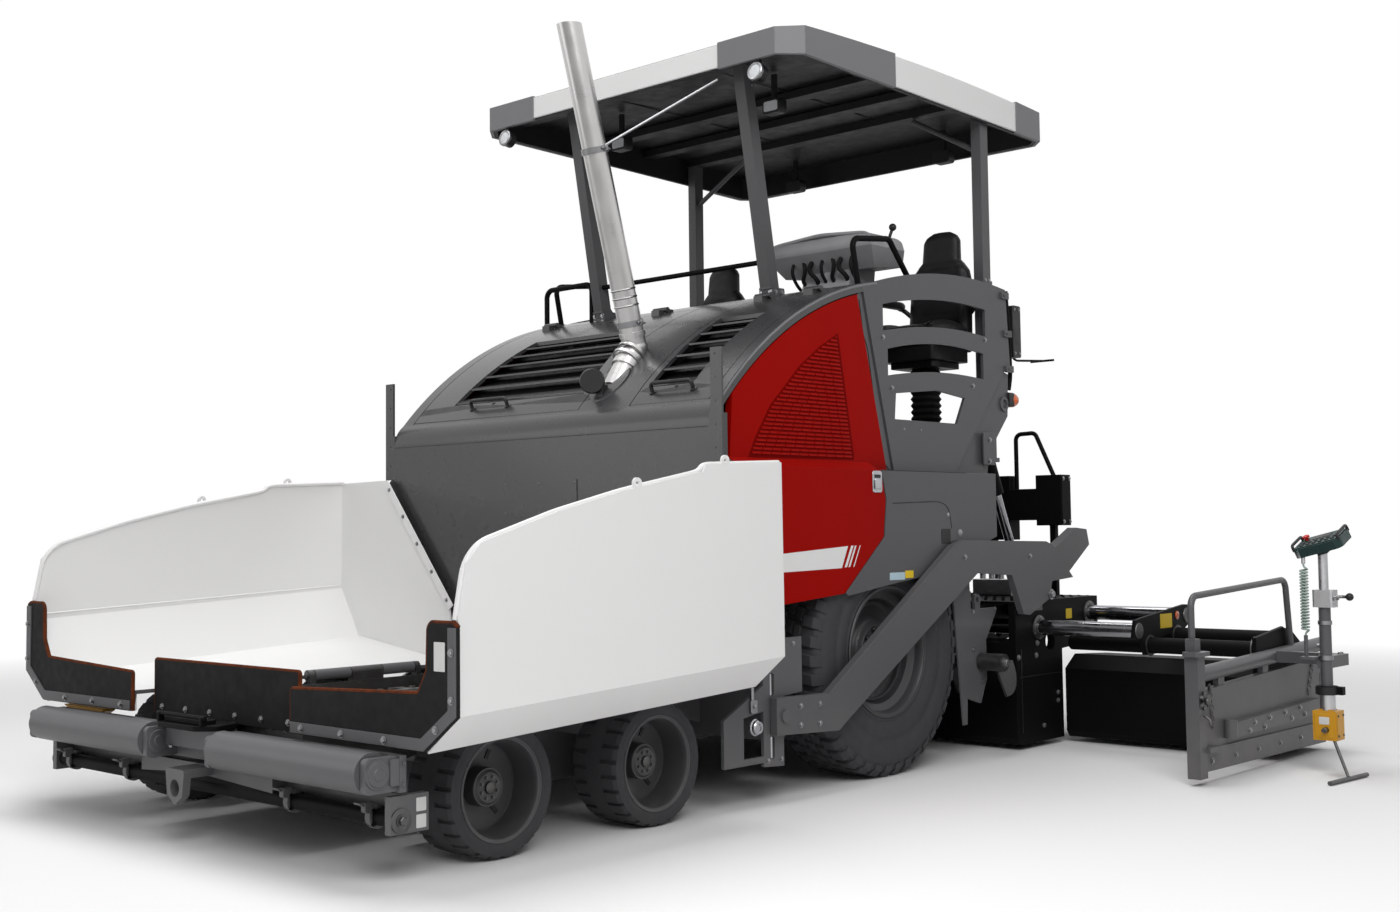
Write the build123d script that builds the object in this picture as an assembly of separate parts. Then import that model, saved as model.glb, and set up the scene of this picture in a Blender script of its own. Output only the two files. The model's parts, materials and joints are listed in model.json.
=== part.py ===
"""Wheeled asphalt paver: tractor with receiving hopper, operator's platform and extending screed.

Millimetres, +Z up. The machine's front looks along -Y and its left side is at +X. Pieces are drawn with
the rear axle at Y = 0 and are moved AXLE_Y back when they are written, so that the origin lies on the
ground under the middle of the machine.
"""
from build123d import *
from math import atan2, cos, degrees, hypot, sqrt
import os

os.makedirs("parts", exist_ok=True)

# ------------------------------------------------------------------ driving dimensions
AXLE_Y = 511  # rear axle behind the middle of the machine
FIT = 0.05  # radial play of a pin, tube or shaft in its bore
SEAT = 0.3  # play between a soft or round piece and its seat
CLEAR = 6  # gap round moving covers and doors

# rear wheels
REAR_R, REAR_W, REAR_RIM_R, REAR_X = 650, 350, 337, 1070
REAR_SPINDLE_R = 90
# front wheels: two on each side, on a bogie, all steered
FRONT_R, FRONT_W, FRONT_RIM_R, FRONT_X = 275, 280, 204, 1115
FRONT_WHEEL_YS = (-2680, -1780)
KINGPIN_X, KINGPIN_R, STUB_R = 925, 25, 35

# frame
RAIL_IN, RAIL_OUT, RAIL_LOW, RAIL_TOP = 470, 560, 230, 470
FRAME_FRONT, FRAME_REAR = -3140, 730
BAY_X, BAY_PLATE = 850, 20  # outer face of the bay's side plates
BAY_FLOOR_Z, DECK_Z = 820, 1600  # engine floor, ledge above the rear wheels
HOOD_FRONT, HOOD_REAR, HOOD_X = -1360, 20, 1200
SKIN = 20
SIDE_X, SIDE_SKIN = 1275, 25  # outer face of the lower body, its thickness
DOOR_FRONT = -1222

# hopper wings
HINGE_X, HINGE_Z = 600, 600
WING_X, WING_SHEET = 1660, 18
WING_FRONT, WING_REAR = -3240, -1392
WING_RISE = 95  # the wing's lower edge climbs this much towards the rear

# canopy
ROOF_X, ROOF_FRONT, ROOF_REAR, ROOF_TOP = 1220, -720, 1810, 3870
ROOF_LOW = ROOF_TOP - 190
FRONT_POST_X, REAR_POST_X, RIB_Z = 650, 1135, ROOF_TOP - 70

# screed
MAIN_X, MAIN_FRONT, MAIN_REAR = 1275, 1210, 1740
EXT_FRONT, EXT_REAR = 1752, 2360
GATE_X, GATE_THICK = 2555, 45
ARM_IN = REAR_X + REAR_W / 2 + 40
ARM_OUT = ARM_IN + 40
TOW_POINT = (-985, 410)
LIFT_LOW, LIFT_PLAY = (1600, 1075), 4
TUBE_R = 45
# guide tubes: (y, z) of each axis
UPPER_TUBES = ((1467, 700), (2080, 760))
LOWER_TUBES = ((1600, 612), (1947, 650))
AUGER_Y, AUGER_Z, AUGER_R, AUGER_SHAFT_R = 950, 530, 190, 40

# ------------------------------------------------------------------ helpers
def face(points):
    """A flat face with straight edges through the points."""
    return make_face(Polyline(*points, close=True))


def rounded(points, radius):
    """A flat face whose corners are all rounded."""
    return fillet(face(points).vertices(), radius)


def block(x, y, z):
    """A box from its (low, high) pair along each axis."""
    return Pos((x[0] + x[1]) / 2, (y[0] + y[1]) / 2, (z[0] + z[1]) / 2) * Box(
        x[1] - x[0], y[1] - y[0], z[1] - z[0]
    )


def across(outline, x_low, x_high):
    """An outline drawn in (y, z), given its thickness along X."""
    return extrude(Plane.YZ.offset(x_low) * outline, amount=x_high - x_low)


def along(outline, y_low, y_high):
    """An outline drawn in (x, z), given its length along Y."""
    plane = Plane(origin=(0, y_high, 0), x_dir=(1, 0, 0), z_dir=(0, -1, 0))
    return extrude(plane * outline, amount=y_high - y_low)


def upright(outline, z_low, z_high):
    """An outline drawn in (x, y), given its height."""
    return extrude(Plane.XY.offset(z_low) * outline, amount=z_high - z_low)


def between(start, end, share):
    """Point on the line from start to end."""
    return tuple(a + (b - a) * share for a, b in zip(start, end))


def rod(start, end, radius):
    """A round bar from one point to the other."""
    run = Vector(*end) - Vector(*start)
    return extrude(Plane(origin=start, z_dir=run) * Circle(radius), amount=run.length)


def bent_tube(points, radius, bend):
    """A round bar through the points, its corners bent to one radius."""
    path = FilletPolyline(*points, radius=bend)
    return sweep(Plane(origin=path @ 0, z_dir=path % 0) * Circle(radius), path=path)


def turned(profile, place):
    """A wheel-like piece: a profile of (along the axle, radius), turned about an axle along X."""
    return Pos(*place) * revolve(Plane.XZ * face(profile), axis=Axis.X)


def other_side(shape):
    return mirror(shape, about=Plane.YZ)


def both_sides(shape):
    return shape + other_side(shape)


def joined(pieces):
    return Part() + list(pieces)


def save(name, shape):
    export_step(Pos(0, AXLE_Y, 0) * shape, f"parts/{name}.step")


SIDES = (("left", 1), ("right", -1))


def on_side(shape, sign):
    return shape if sign > 0 else other_side(shape)


# ------------------------------------------------------------------ hood surface
HOOD_NOSE_LOW, HOOD_NOSE_MID, HOOD_NOSE_TOP = (HOOD_FRONT, 1780), (HOOD_FRONT + 13, 1848), (-1300, 1905)
HOOD_CREST, HOOD_BACK = (-760, 2345), (HOOD_REAR, 2613)


def circle_through(a, b, c):
    """Middle and radius of the circle through three points."""
    d = 2 * (a[0] * (b[1] - c[1]) + b[0] * (c[1] - a[1]) + c[0] * (a[1] - b[1]))
    sq = [p[0] ** 2 + p[1] ** 2 for p in (a, b, c)]
    y = (sq[0] * (b[1] - c[1]) + sq[1] * (c[1] - a[1]) + sq[2] * (a[1] - b[1])) / d
    z = (sq[0] * (c[0] - b[0]) + sq[1] * (a[0] - c[0]) + sq[2] * (b[0] - a[0])) / d
    return (y, z), hypot(a[0] - y, a[1] - z)


CREST_MIDDLE, CREST_R = circle_through(HOOD_NOSE_TOP, HOOD_CREST, HOOD_BACK)


def hood_z(y, depth=0):
    """Height of the hood's curved top, or of a surface so far below it."""
    return CREST_MIDDLE[1] + sqrt((CREST_R - depth) ** 2 - (y - CREST_MIDDLE[0]) ** 2)


def crest(y_low, y_high, depth):
    """Arc that runs below the hood's top from one Y to the other."""
    ys = (y_low, (y_low + y_high) / 2, y_high)
    return ThreePointArc(*[(y, hood_z(y, depth)) for y in ys])


def hood_outline(inset):
    """Side outline of the hood, moved inwards by the inset."""
    low, rear = BAY_FLOOR_Z + inset, HOOD_REAR - inset
    front = HOOD_FRONT + inset
    nose_y = HOOD_NOSE_TOP[0] + inset * 0.7
    nose_z = hood_z(nose_y, inset)
    nose = ThreePointArc(
        (front, HOOD_NOSE_LOW[1]), (HOOD_NOSE_MID[0] + inset, HOOD_NOSE_MID[1] - inset * 0.2),
        (nose_y, nose_z)
    )
    edges = [
        Line((front, low), (front, HOOD_NOSE_LOW[1])),
        nose,
        crest(nose_y, rear, inset),
        Line((rear, hood_z(rear, inset)), (rear, low)),
        Line((rear, low), (front, low)),
    ]
    return make_face(Wire(edges))


# ------------------------------------------------------------------ frame
def chassis_frame():
    """Rails, conveyor tunnel, side plates of the engine bay and the slotted guides of the tow points."""
    bay_front = HOOD_FRONT + SKIN
    rails = both_sides(block((RAIL_IN, RAIL_OUT), (FRAME_FRONT, FRAME_REAR), (RAIL_LOW, RAIL_TOP)))
    crosses = [
        block((-RAIL_IN, RAIL_IN), (y - 20, y + 20), (RAIL_LOW, RAIL_TOP - 10))
        for y in (FRAME_FRONT + 20, sum(FRONT_WHEEL_YS) / 2, -1250, -400, FRAME_REAR - 20)
    ]
    belly = block((-RAIL_IN, RAIL_IN), (HOOD_FRONT, FRAME_REAR), (RAIL_LOW, RAIL_LOW + 12))
    tunnel = both_sides(block((RAIL_OUT, RAIL_OUT + 15), (bay_front, FRAME_REAR),
                              (RAIL_LOW, BAY_FLOOR_Z - 20)))
    floor = block((-BAY_X, BAY_X), (bay_front, FRAME_REAR), (BAY_FLOOR_Z - 20, BAY_FLOOR_Z))
    side = across(
        face([(bay_front, 430), (-850, 300), (FRAME_REAR, 300), (FRAME_REAR, DECK_Z), (bay_front, DECK_Z)]),
        BAY_X - BAY_PLATE, BAY_X)
    rear_wall = block((-BAY_X, BAY_X), (FRAME_REAR - 15, FRAME_REAR), (BAY_FLOOR_Z, DECK_Z))
    outrigger = both_sides(
        block((BAY_X, GUIDE_IN), (TOW_POINT[0] - 75, TOW_POINT[0] + 75), (RAIL_LOW + 70, 700))
        + block((RAIL_OUT, BAY_X), (TOW_POINT[0] - 75, TOW_POINT[0] + 75), (RAIL_LOW + 70, 430))
    )
    return joined([rails, *crosses, belly, tunnel, floor, both_sides(side), rear_wall, outrigger,
                   guide_plates()])


GUIDE_IN, GUIDE_OUT = 1262, 1280
TOW_PIN_R = 30


def guide_plates():
    """Upright plates with two slots each, which guide the tow point's height setting, and the tow pins."""
    y, z = TOW_POINT
    plate = across(
        face([(y - 105, 180), (y + 45, 170), (y + 45, 500), (y + 190, 510), (y + 190, 775),
              (y + 55, 775), (y - 105, 690)]),
        GUIDE_IN, GUIDE_OUT)
    for slot_z in (265, 560):
        plate -= across(Pos(y - 40, slot_z) * SlotOverall(110, 34, rotation=90), GUIDE_IN, GUIDE_OUT)
    plate += rod((GUIDE_IN, y, z), (ARM_OUT + 12, y, z), TOW_PIN_R - FIT)
    bracket = across(face([(y - 390, 420), (y - 105, 560), (y - 105, 440), (y - 250, 420), (y - 250, 230),
                           (y - 105, 230), (y - 105, 200), (y - 390, 200)]), GUIDE_IN, GUIDE_OUT)
    return both_sides(plate + bracket)


def engine_block():
    return block((-420, 420), (-1120, -250), (BAY_FLOOR_Z, 1700))


# ------------------------------------------------------------------ hopper floor and conveyor
FLOOR_TOP = RAIL_TOP + 15
TROUGH_X, TROUGH_TOP = 575, 560
PIN_R, SLEEVE_R = 15, 28
# the wing hinge's sleeves on the wing, and the lugs on the hopper floor between them: (low y, high y)
WING_SLEEVES = ((-2310, -2100), (-1900, -1700))
FLOOR_LUGS = ((-2345, -2315), (-2095, -1905), (-1695, -1665))


def hopper_floor():
    deck = block((-RAIL_OUT, RAIL_OUT), (FRAME_FRONT, FRAME_REAR), (RAIL_TOP, FLOOR_TOP))
    ridge = along(face([(-45, FLOOR_TOP), (45, FLOOR_TOP), (12, FLOOR_TOP + 75), (-12, FLOOR_TOP + 75)]),
                  FRAME_FRONT, HOOD_FRONT)
    trough = both_sides(block((RAIL_OUT, TROUGH_X), (FRAME_FRONT, HOOD_FRONT), (RAIL_TOP - 60, TROUGH_TOP)))
    apron = block((-TROUGH_X, TROUGH_X), (FRAME_FRONT - 20, FRAME_FRONT), (RAIL_LOW + 60, FLOOR_TOP + 60))
    lugs = []
    for low, high in FLOOR_LUGS:
        lug = block((TROUGH_X - 5, HINGE_X + 12), (low, high), (TROUGH_TOP - 60, HINGE_Z - 5))
        lug += rod((HINGE_X, low, HINGE_Z), (HINGE_X, high, HINGE_Z), SLEEVE_R)
        lugs.append(both_sides(lug))
    pin = rod((HINGE_X, FLOOR_LUGS[0][0] - 8, HINGE_Z), (HINGE_X, FLOOR_LUGS[-1][1] + 8, HINGE_Z), PIN_R
              - FIT)
    return joined([deck, ridge, trough, apron, *lugs, both_sides(pin)])


SLAT_PITCH, SLAT_COUNT = 240, 16


def conveyor():
    strands = [block((x, x + 28), (FRAME_FRONT + 30, FRAME_REAR - 5), (FLOOR_TOP, FLOOR_TOP + 14))
               for x in (60, 500)]
    slats = [block((60, 528), (y, y + 45), (FLOOR_TOP + 6, FLOOR_TOP + 26))
             for y in (FRAME_FRONT + 60 + i * SLAT_PITCH for i in range(SLAT_COUNT))]
    return both_sides(joined(strands + slats))


def centre_flap():
    return block((-570, 570), (FRAME_FRONT - 38, FRAME_FRONT - 20), (FLOOR_TOP + 12, 740))


# ------------------------------------------------------------------ front end
BEAM_PIVOT_Y, PIVOT_R = -3225, 25
EYE_Z, EYE_R, EYE_THICK = 246, 36, 35
BEAM_LOW, BEAM_TOP = EYE_Z - 21, EYE_Z + 84
ROLLER_Y, ROLLER_Z, ROLLER_R, ROLLER_IN, ROLLER_OUT = -3345, 420, 78, 270, 1290


def front_beam():
    """Fixed cross tube with its clamps, end blocks and the tow eye."""
    tube_y, tube_z = BEAM_PIVOT_Y - 15, EYE_Z - 6
    tube = rod((-1300, tube_y, tube_z), (1300, tube_y, tube_z), 32)
    saddle = block((-520, 520), (tube_y - 25, FRAME_FRONT - 20), (BEAM_LOW, BEAM_TOP))
    pivot = rod((0, BEAM_PIVOT_Y, BEAM_TOP), (0, BEAM_PIVOT_Y, ROLLER_Z + 85), PIVOT_R - FIT)
    blocks = both_sides(block((1290, 1325), (tube_y - 45, tube_y + 130), (BEAM_LOW - 35, BEAM_TOP))
                        + block((520, 1290), (FRAME_FRONT - 55, FRAME_FRONT - 20),
                                (BEAM_LOW - 10, BEAM_TOP - 5)))
    clamps = [rod((x - 15, tube_y, tube_z), (x + 15, tube_y, tube_z), 44) for x in (-1180, -640, 640, 1180)]
    eye_y = ROLLER_Y - 20
    neck = block((-70, 70), (eye_y, tube_y), (EYE_Z + EYE_R + 8, BEAM_TOP - 5))
    shield = [(-75, BEAM_TOP - 5), (75, BEAM_TOP - 5), (60, BEAM_LOW - 10), (0, BEAM_LOW - 50),
              (-60, BEAM_LOW - 10)]
    eye = along(rounded(shield, 14), eye_y - EYE_THICK, eye_y)
    eye -= along(Pos(0, EYE_Z) * Circle(EYE_R), eye_y - EYE_THICK, eye_y)
    return joined([tube, saddle, pivot, blocks, *clamps, neck, eye])


def push_beam():
    """Beam that swings about the middle pivot and carries both push rollers."""
    beam = block((-1340, 1340), (ROLLER_Y + 90, ROLLER_Y + 120), (345, 480))
    hub = upright(face([(-230, ROLLER_Y + 30), (230, ROLLER_Y + 30), (120, BEAM_PIVOT_Y + 44),
                        (-120, BEAM_PIVOT_Y + 44)]), 400, 490)
    ears = []
    for x in (ROLLER_IN - 36, ROLLER_OUT + 6):
        ear = across(rounded([(ROLLER_Y - 55, 350), (ROLLER_Y + 100, 350), (ROLLER_Y + 100, 480),
                              (ROLLER_Y - 55, 480)], 20), x, x + 30)
        ears.append(both_sides(ear))
    beam = joined([beam, hub, *ears])
    beam -= rod((0, BEAM_PIVOT_Y, 300), (0, BEAM_PIVOT_Y, 600), PIVOT_R)
    for x in (ROLLER_IN - 40, ROLLER_OUT):
        beam -= both_sides(rod((x, ROLLER_Y, ROLLER_Z), (x + 50, ROLLER_Y, ROLLER_Z), 22))
    return beam


def push_roller():
    roller = rod((ROLLER_IN, ROLLER_Y, ROLLER_Z), (ROLLER_OUT, ROLLER_Y, ROLLER_Z), ROLLER_R)
    shaft = rod((ROLLER_IN - 42, ROLLER_Y, ROLLER_Z), (ROLLER_OUT + 42, ROLLER_Y, ROLLER_Z), 22 - FIT)
    return roller + shaft


# ------------------------------------------------------------------ wheels and axles
def tyre(radius, width, rim_r, place):
    half = width / 2
    shoulder, wall = radius * 0.955, rim_r + (radius - rim_r) * 0.5
    edge = [(half * 0.86, rim_r + SEAT), (half * 0.90, rim_r + 12),
            (half * 0.98, rim_r + 0.2 * (radius - rim_r)),
            (half, wall), (half * 0.97, shoulder), (half * 0.84, radius)]
    return turned([(-x, r) for x, r in edge] + edge[::-1], place)


def front_rim(place):
    half = FRONT_W / 2 * 0.86
    r = FRONT_RIM_R
    profile = [(-half, r - 14), (-half, r), (half, r), (half + 8, r + 6), (half + 8, r - 8), (half, r - 14),
               (-10, r - 26), (-22, 80), (40, 78), (55, 60), (55, 0), (35, 0), (35, STUB_R + FIT),
               (-75, STUB_R + FIT), (-75, 70), (-40, 78), (-34, r - 20)]
    return turned(profile, place)


def rear_rim(place):
    half = REAR_W / 2 * 0.86
    r = REAR_RIM_R
    profile = [(-half, r - 16), (-half, r), (half, r), (half + 12, r + 10), (half + 12, r - 10),
               (half - 4, r - 18),
               (half - 40, r - 24), (half - 60, r - 60), (60, r - 66), (36, r - 90), (30, 180), (50, 168),
               (62, 150),
               (92, 140), (92, REAR_SPINDLE_R + FIT), (-30, REAR_SPINDLE_R + FIT), (-30, 150), (8, 172),
               (14, r - 84),
               (40, r - 44), (half - 60, r - 40), (half - 64, r - 16)]
    return turned(profile, place)


def rear_axle():
    flange = rod((BAY_X, 0, REAR_R), (BAY_X + 22, 0, REAR_R), 215)
    drive = rod((BAY_X + 22, 0, REAR_R), (REAR_X - 40, 0, REAR_R), 140)
    spindle = rod((REAR_X - 40, 0, REAR_R), (REAR_X + 95, 0, REAR_R), REAR_SPINDLE_R)
    return both_sides(flange + drive + spindle)


BOGIE_IN, BOGIE_OUT = 690, 780


def front_bogies():
    """One rocking beam on each side with a fork and kingpin for each of its two wheels."""
    mid = sum(FRONT_WHEEL_YS) / 2
    front, rear = FRONT_WHEEL_YS
    low, high = FRONT_R - 95, FRONT_R + 75
    beam = across(face([(front - 60, low), (rear + 60, low), (rear + 60, high), (mid + 160, high + 70),
                        (mid - 160, high + 70), (front - 60, high)]), BOGIE_IN, BOGIE_OUT)
    pivot = rod((RAIL_OUT, mid, FRONT_R + 55), (BOGIE_IN, mid, FRONT_R + 55), 70)
    forks = []
    for y in FRONT_WHEEL_YS:
        for low, high in ((FRONT_R - 95, FRONT_R - 65), (FRONT_R + 65, FRONT_R + 95)):
            arm = upright(face([(BOGIE_OUT, y - 60), (KINGPIN_X, y - 42), (KINGPIN_X + 28, y - 25),
                                (KINGPIN_X + 28, y + 25), (KINGPIN_X, y + 42), (BOGIE_OUT, y + 60)]), low,
                          high)
            forks.append(arm)
        forks.append(rod((KINGPIN_X, y, FRONT_R - 95), (KINGPIN_X, y, FRONT_R + 95), KINGPIN_R - FIT))
    return both_sides(joined([beam, pivot, *forks]))


def knuckle(y):
    """Steered knuckle: barrel on the kingpin, stub axle and steering arm."""
    barrel = rod((KINGPIN_X, y, FRONT_R - 60), (KINGPIN_X, y, FRONT_R + 60), 42)
    stub = rod((KINGPIN_X, y, FRONT_R), (FRONT_X + 34, y, FRONT_R), STUB_R)
    arm = block((KINGPIN_X - 100, KINGPIN_X), (y - 18, y + 18), (FRONT_R - 20, FRONT_R + 20))
    return barrel + stub + arm - rod((KINGPIN_X, y, 0), (KINGPIN_X, y, 500), KINGPIN_R)


# ------------------------------------------------------------------ hood, lids and doors
# covers in the hood's top, seen from above: (x, y) of each corner
LIDS = {
    "left": ((612, -1285), (1135, -1285), (1135, -345), (612, -345)),
    "right": ((-1110, -1285), (235, -1285), (235, -345), (-1110, -345)),
}
# louvred window of each cover: (x, y) of each corner
LOUVRES = {
    "left": ((655, -1200), (955, -1200), (955, -640), (655, -640)),
    "right": ((-860, -1200), (190, -1200), (60, -640), (-790, -640)),
}
LOUVRE_BLADES = 6


def hood_skin():
    """Front wall, nose and curved top, open at the sides and below."""
    skin = across(hood_outline(0), -HOOD_X, HOOD_X) - across(hood_outline(SKIN), -HOOD_X, HOOD_X)
    return skin - block((-HOOD_X, HOOD_X), (HOOD_FRONT + SKIN, HOOD_REAR), (BAY_FLOOR_Z, DECK_Z))


def hood():
    skin = hood_skin()
    edge = across(hood_outline(0), HOOD_X - EDGE, HOOD_X) - across(hood_outline(EDGE), HOOD_X - EDGE, HOOD_X)
    skin += both_sides(edge & block((0, HOOD_X), (HOOD_FRONT, HOOD_REAR), (DECK_Z, 3000)))
    wall_top = hood_z(HOOD_REAR - SKIN, DOOR_TOP_DEPTH)
    skin -= both_sides(block((DOOR_IN - CLEAR, HOOD_X), (HOOD_REAR - 160, HOOD_REAR),
                             (DECK_Z, wall_top - 60)))
    skin -= both_sides(across(side_plate_outline(), HOOD_X - PLATE, HOOD_X))
    for corners in LIDS.values():
        skin -= upright(offset(face(corners), CLEAR, kind=Kind.INTERSECTION), 1800, 2800)
    pillar = along(face([(1100, 830), (SIDE_X - 5, 930), (SIDE_X - 5, 1590), (HOOD_X, 1640), (HOOD_X, 1850),
                         (1100, 1850)]), HOOD_FRONT + SKIN, DOOR_FRONT - 8)
    posts = both_sides(block((HOOD_X - 2, HOOD_X + 10), (HOOD_FRONT, HOOD_FRONT + 70), (1600, 1850))
                       + block((HOOD_X + 10, HOOD_X + 80), (HOOD_FRONT, HOOD_FRONT + 12), (1600, 2150)))
    hatch = block((-255, 304), (HOOD_FRONT - 4, HOOD_FRONT), (1379, 1560))
    return joined([skin, both_sides(pillar), posts, hatch, horn(), *lid_hinges(False)])


def horn():
    """Round horn on a foot beside the exhaust."""
    x, y, z = 305, -1246, 2062
    cup = turned([(-34, 0), (-34, 30), (-22, 58), (20, 66), (32, 60), (32, 0)], (0, 0, 0))
    cup = Pos(x, y, z) * Rot(0, 0, -50) * cup
    foot = block((x + 10, x + 60), (y + 10, y + 50), (hood_z(y) - SKIN / 2, z - 20))
    return cup + foot - (across(hood_outline(SKIN / 2), x - 100, x + 100))


LID_PIN_R, LID_SLEEVE_R, LID_SLEEVE = 8, 15, 60
# middle of each lid hinge along X
LID_HINGE_XS = {"left": (700, 1040), "right": (-980, -60)}


def lid_hinge(x, moving):
    """One hinge of an engine cover: the sleeve on the cover, or the pin and two lugs on the hood."""
    y = LIDS["left"][2][1] + CLEAR / 2
    z = hood_z(y) + LID_SLEEVE_R + 6
    half = LID_SLEEVE / 2
    if moving:
        strap = block((x - half, x + half), (y - 50, y), (z - 60, z - 4))
        sleeve = rod((x - half, y, z), (x + half, y, z), LID_SLEEVE_R) + (
            strap - across(hood_outline(2), x - half, x + half))
        return sleeve - rod((x - half - 1, y, z), (x + half + 1, y, z), LID_PIN_R)
    lugs = [rod((x - half - 24, y, z), (x + half + 24, y, z), LID_PIN_R - FIT)]
    for low in (x - half - 24, x + half + 1):
        foot = block((low, low + 23), (y, y + 45), (z - 60, z + 4))
        lugs.append(rod((low, y, z), (low + 23, y, z), LID_SLEEVE_R)
                    + (foot - across(hood_outline(SKIN / 2), low, low + 23)))
    return joined(lugs)


def lid_hinges(moving):
    return [lid_hinge(x, moving) for xs in LID_HINGE_XS.values() for x in xs]


# ends of each cover's handle along X
LID_HANDLES = {"left": (717, 988), "right": (-661, -368)}


def lid_handle(side):
    low, high = LID_HANDLES[side]
    y = LIDS[side][0][1] + 55
    foot, grip = hood_z(y) - SKIN / 2, hood_z(y) + 42
    return bent_tube([(low, y, foot), (low, y - 22, grip), (high, y - 22, grip), (high, y, foot)], 10, 22)


def engine_lid(side):
    plan = face(LIDS[side])
    lid = hood_skin() & upright(plan, 1800, 2800)
    window = face(LOUVRES[side])
    lid -= upright(window, 1800, 2800)
    low_y, high_y = LOUVRES[side][0][1], LOUVRES[side][2][1]
    blades = []
    pitch = (high_y - low_y) / LOUVRE_BLADES
    for i in range(LOUVRE_BLADES):
        y = low_y + (i + 0.5) * pitch
        blade = face([(y - 30, hood_z(y - 30) - 2), (y + 42, hood_z(y + 42) - 42),
                      (y + 42, hood_z(y + 42) - 50),
                      (y - 30, hood_z(y - 30) - 12)])
        blades.append(across(blade, min(c[0] for c in LOUVRES[side]) - 12, max(c[0] for c in LOUVRES[side])
                             + 12))
    frame_only = upright(offset(window, 12, kind=Kind.INTERSECTION), 1700, 2800)
    lid = lid + (joined(blades) & frame_only)
    return joined([lid, lid_handle(side), *[lid_hinge(x, True) for x in LID_HINGE_XS[side]]])


EDGE, DOOR_TOP_DEPTH = 45, 52
DOOR_THICK = 40
DOOR_IN = HOOD_X - DOOR_THICK
DOOR_HINGE = (SIDE_X + 31, DOOR_FRONT - 10)
DOOR_HINGE_ZS = (1020, 1480)


def service_door():
    """Side door: louvred upper panel, bulged lower panel below a ledge."""
    upper = make_face(Wire([
        Line((DOOR_FRONT + 3, 1600), (DOOR_FRONT + 30, hood_z(DOOR_FRONT + 30, DOOR_TOP_DEPTH))),
        crest(DOOR_FRONT + 30, -178, DOOR_TOP_DEPTH),
        Line((-178, hood_z(-178, DOOR_TOP_DEPTH)), (60, 1600)),
        Line((60, 1600), (DOOR_FRONT + 3, 1600)),
    ]))
    lower = face([(DOOR_FRONT, 930), (-946, 930), (-430, 968), (-84, 1250), (-60, 1446), (-100, 1600),
                  (DOOR_FRONT, 1600)])
    ledge = along(face([(DOOR_IN, 1560), (SIDE_X - 2, 1560), (SIDE_X - 2, 1590), (HOOD_X, 1640),
                        (DOOR_IN, 1640)]), DOOR_FRONT, -100)
    door = across(upper, DOOR_IN, HOOD_X) + across(lower, SIDE_X - SIDE_SKIN, SIDE_X) + ledge
    x, y = DOOR_HINGE
    for z in DOOR_HINGE_ZS:
        door += rod((x, y, z), (x, y, z + 60), 18) + block((SIDE_X - 3, x), (y + 3, DOOR_FRONT + 60),
                                                           (z, z + 60))
        door -= rod((x, y, z - 5), (x, y, z + 65), 10)
    return door


def door_hinges():
    x, y = DOOR_HINGE
    pieces = []
    for z in DOOR_HINGE_ZS:
        pieces.append(rod((x, y, z - 25), (x, y, z + 85), 10 - FIT))
        for low in (z - 25, z + 61):
            pieces.append(rod((x, y, low), (x, y, low + 24), 18)
                          + block((SIDE_X - 30, x), (y - 18, y), (low, low + 24)))
    return joined(pieces)


ARCH_R = REAR_R + 45


def side_bodies():
    """Lower body behind the doors: skin over the rear wheel, ledge and wheel arch."""
    skin = across(
        face([(-90, DECK_Z), (-52, 1446), (-76, 1250), (-418, 972), (-400, 955), (60, 1010), (560, 1060),
              (820, 1180), (1030, 1240), (1030, DECK_Z)]),
        SIDE_X - SIDE_SKIN, SIDE_X)
    ledge = block((BAY_X, SIDE_X), (-60, 1030), (DECK_Z - 15, DECK_Z))
    ring = Circle(ARCH_R + 12) - Circle(ARCH_R)
    arch = across(Pos(0, REAR_R) * ring, BAY_X, SIDE_X - SIDE_SKIN - 6)
    arch &= block((0, 2000), (-900, 900), (990, 1500))
    tie = across(Pos(0, REAR_R) * ring, SIDE_X - SIDE_SKIN - 6, SIDE_X - 10)
    tie &= block((0, 2000), (0, 900), (1100, 1500))
    return both_sides(skin + ledge + arch + tie)


# ------------------------------------------------------------------ platform
PLATFORM_Z = 1700


PLATE = 18
LIFT_X, LIFT_TOP, LIFT_PIN_R = 1050, (1160, 2000), 20
FLOOR_REAR, FLOOR_NOTCH = 1330, 1230


def platform():
    """Operator's floor, dash shelf, rear columns and the side plates with their windows."""
    inner, outer, front = DOOR_IN - CLEAR, HOOD_X - PLATE, HOOD_REAR + 115
    notch = LIFT_X - 60
    floor = upright(face([(-inner, HOOD_REAR), (inner, HOOD_REAR), (inner, front), (outer, front),
                          (outer, FLOOR_NOTCH), (notch, FLOOR_NOTCH), (notch, FLOOR_REAR),
                          (-notch, FLOOR_REAR),
                          (-notch, FLOOR_NOTCH), (-outer, FLOOR_NOTCH), (-outer, front), (-inner, front)]),
                    PLATFORM_Z - 25, PLATFORM_Z)
    base = both_sides(block((BAY_X - BAY_PLATE, inner), (HOOD_REAR, 700), (DECK_Z, PLATFORM_Z - 25)))
    dash = across(dash_outline(), -outer, outer)
    column = across(face([(735, DECK_Z), (1290, 2212), (1345, 2200), (1330, 1950), (1120, 1730),
                          (1090, DECK_Z)]),
                    HOOD_X - 60, outer)
    rear_post = both_sides(block((REAR_POST_X - 32, outer), (1120, 1200), (PLATFORM_Z, 2700)))
    pin = both_sides(rod((LIFT_X - 50, *LIFT_TOP), (HOOD_X - 60, *LIFT_TOP), LIFT_PIN_R - FIT))
    return joined([floor, base, dash, both_sides(column), rear_post, pin, platform_sides(), rear_steps()])


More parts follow.
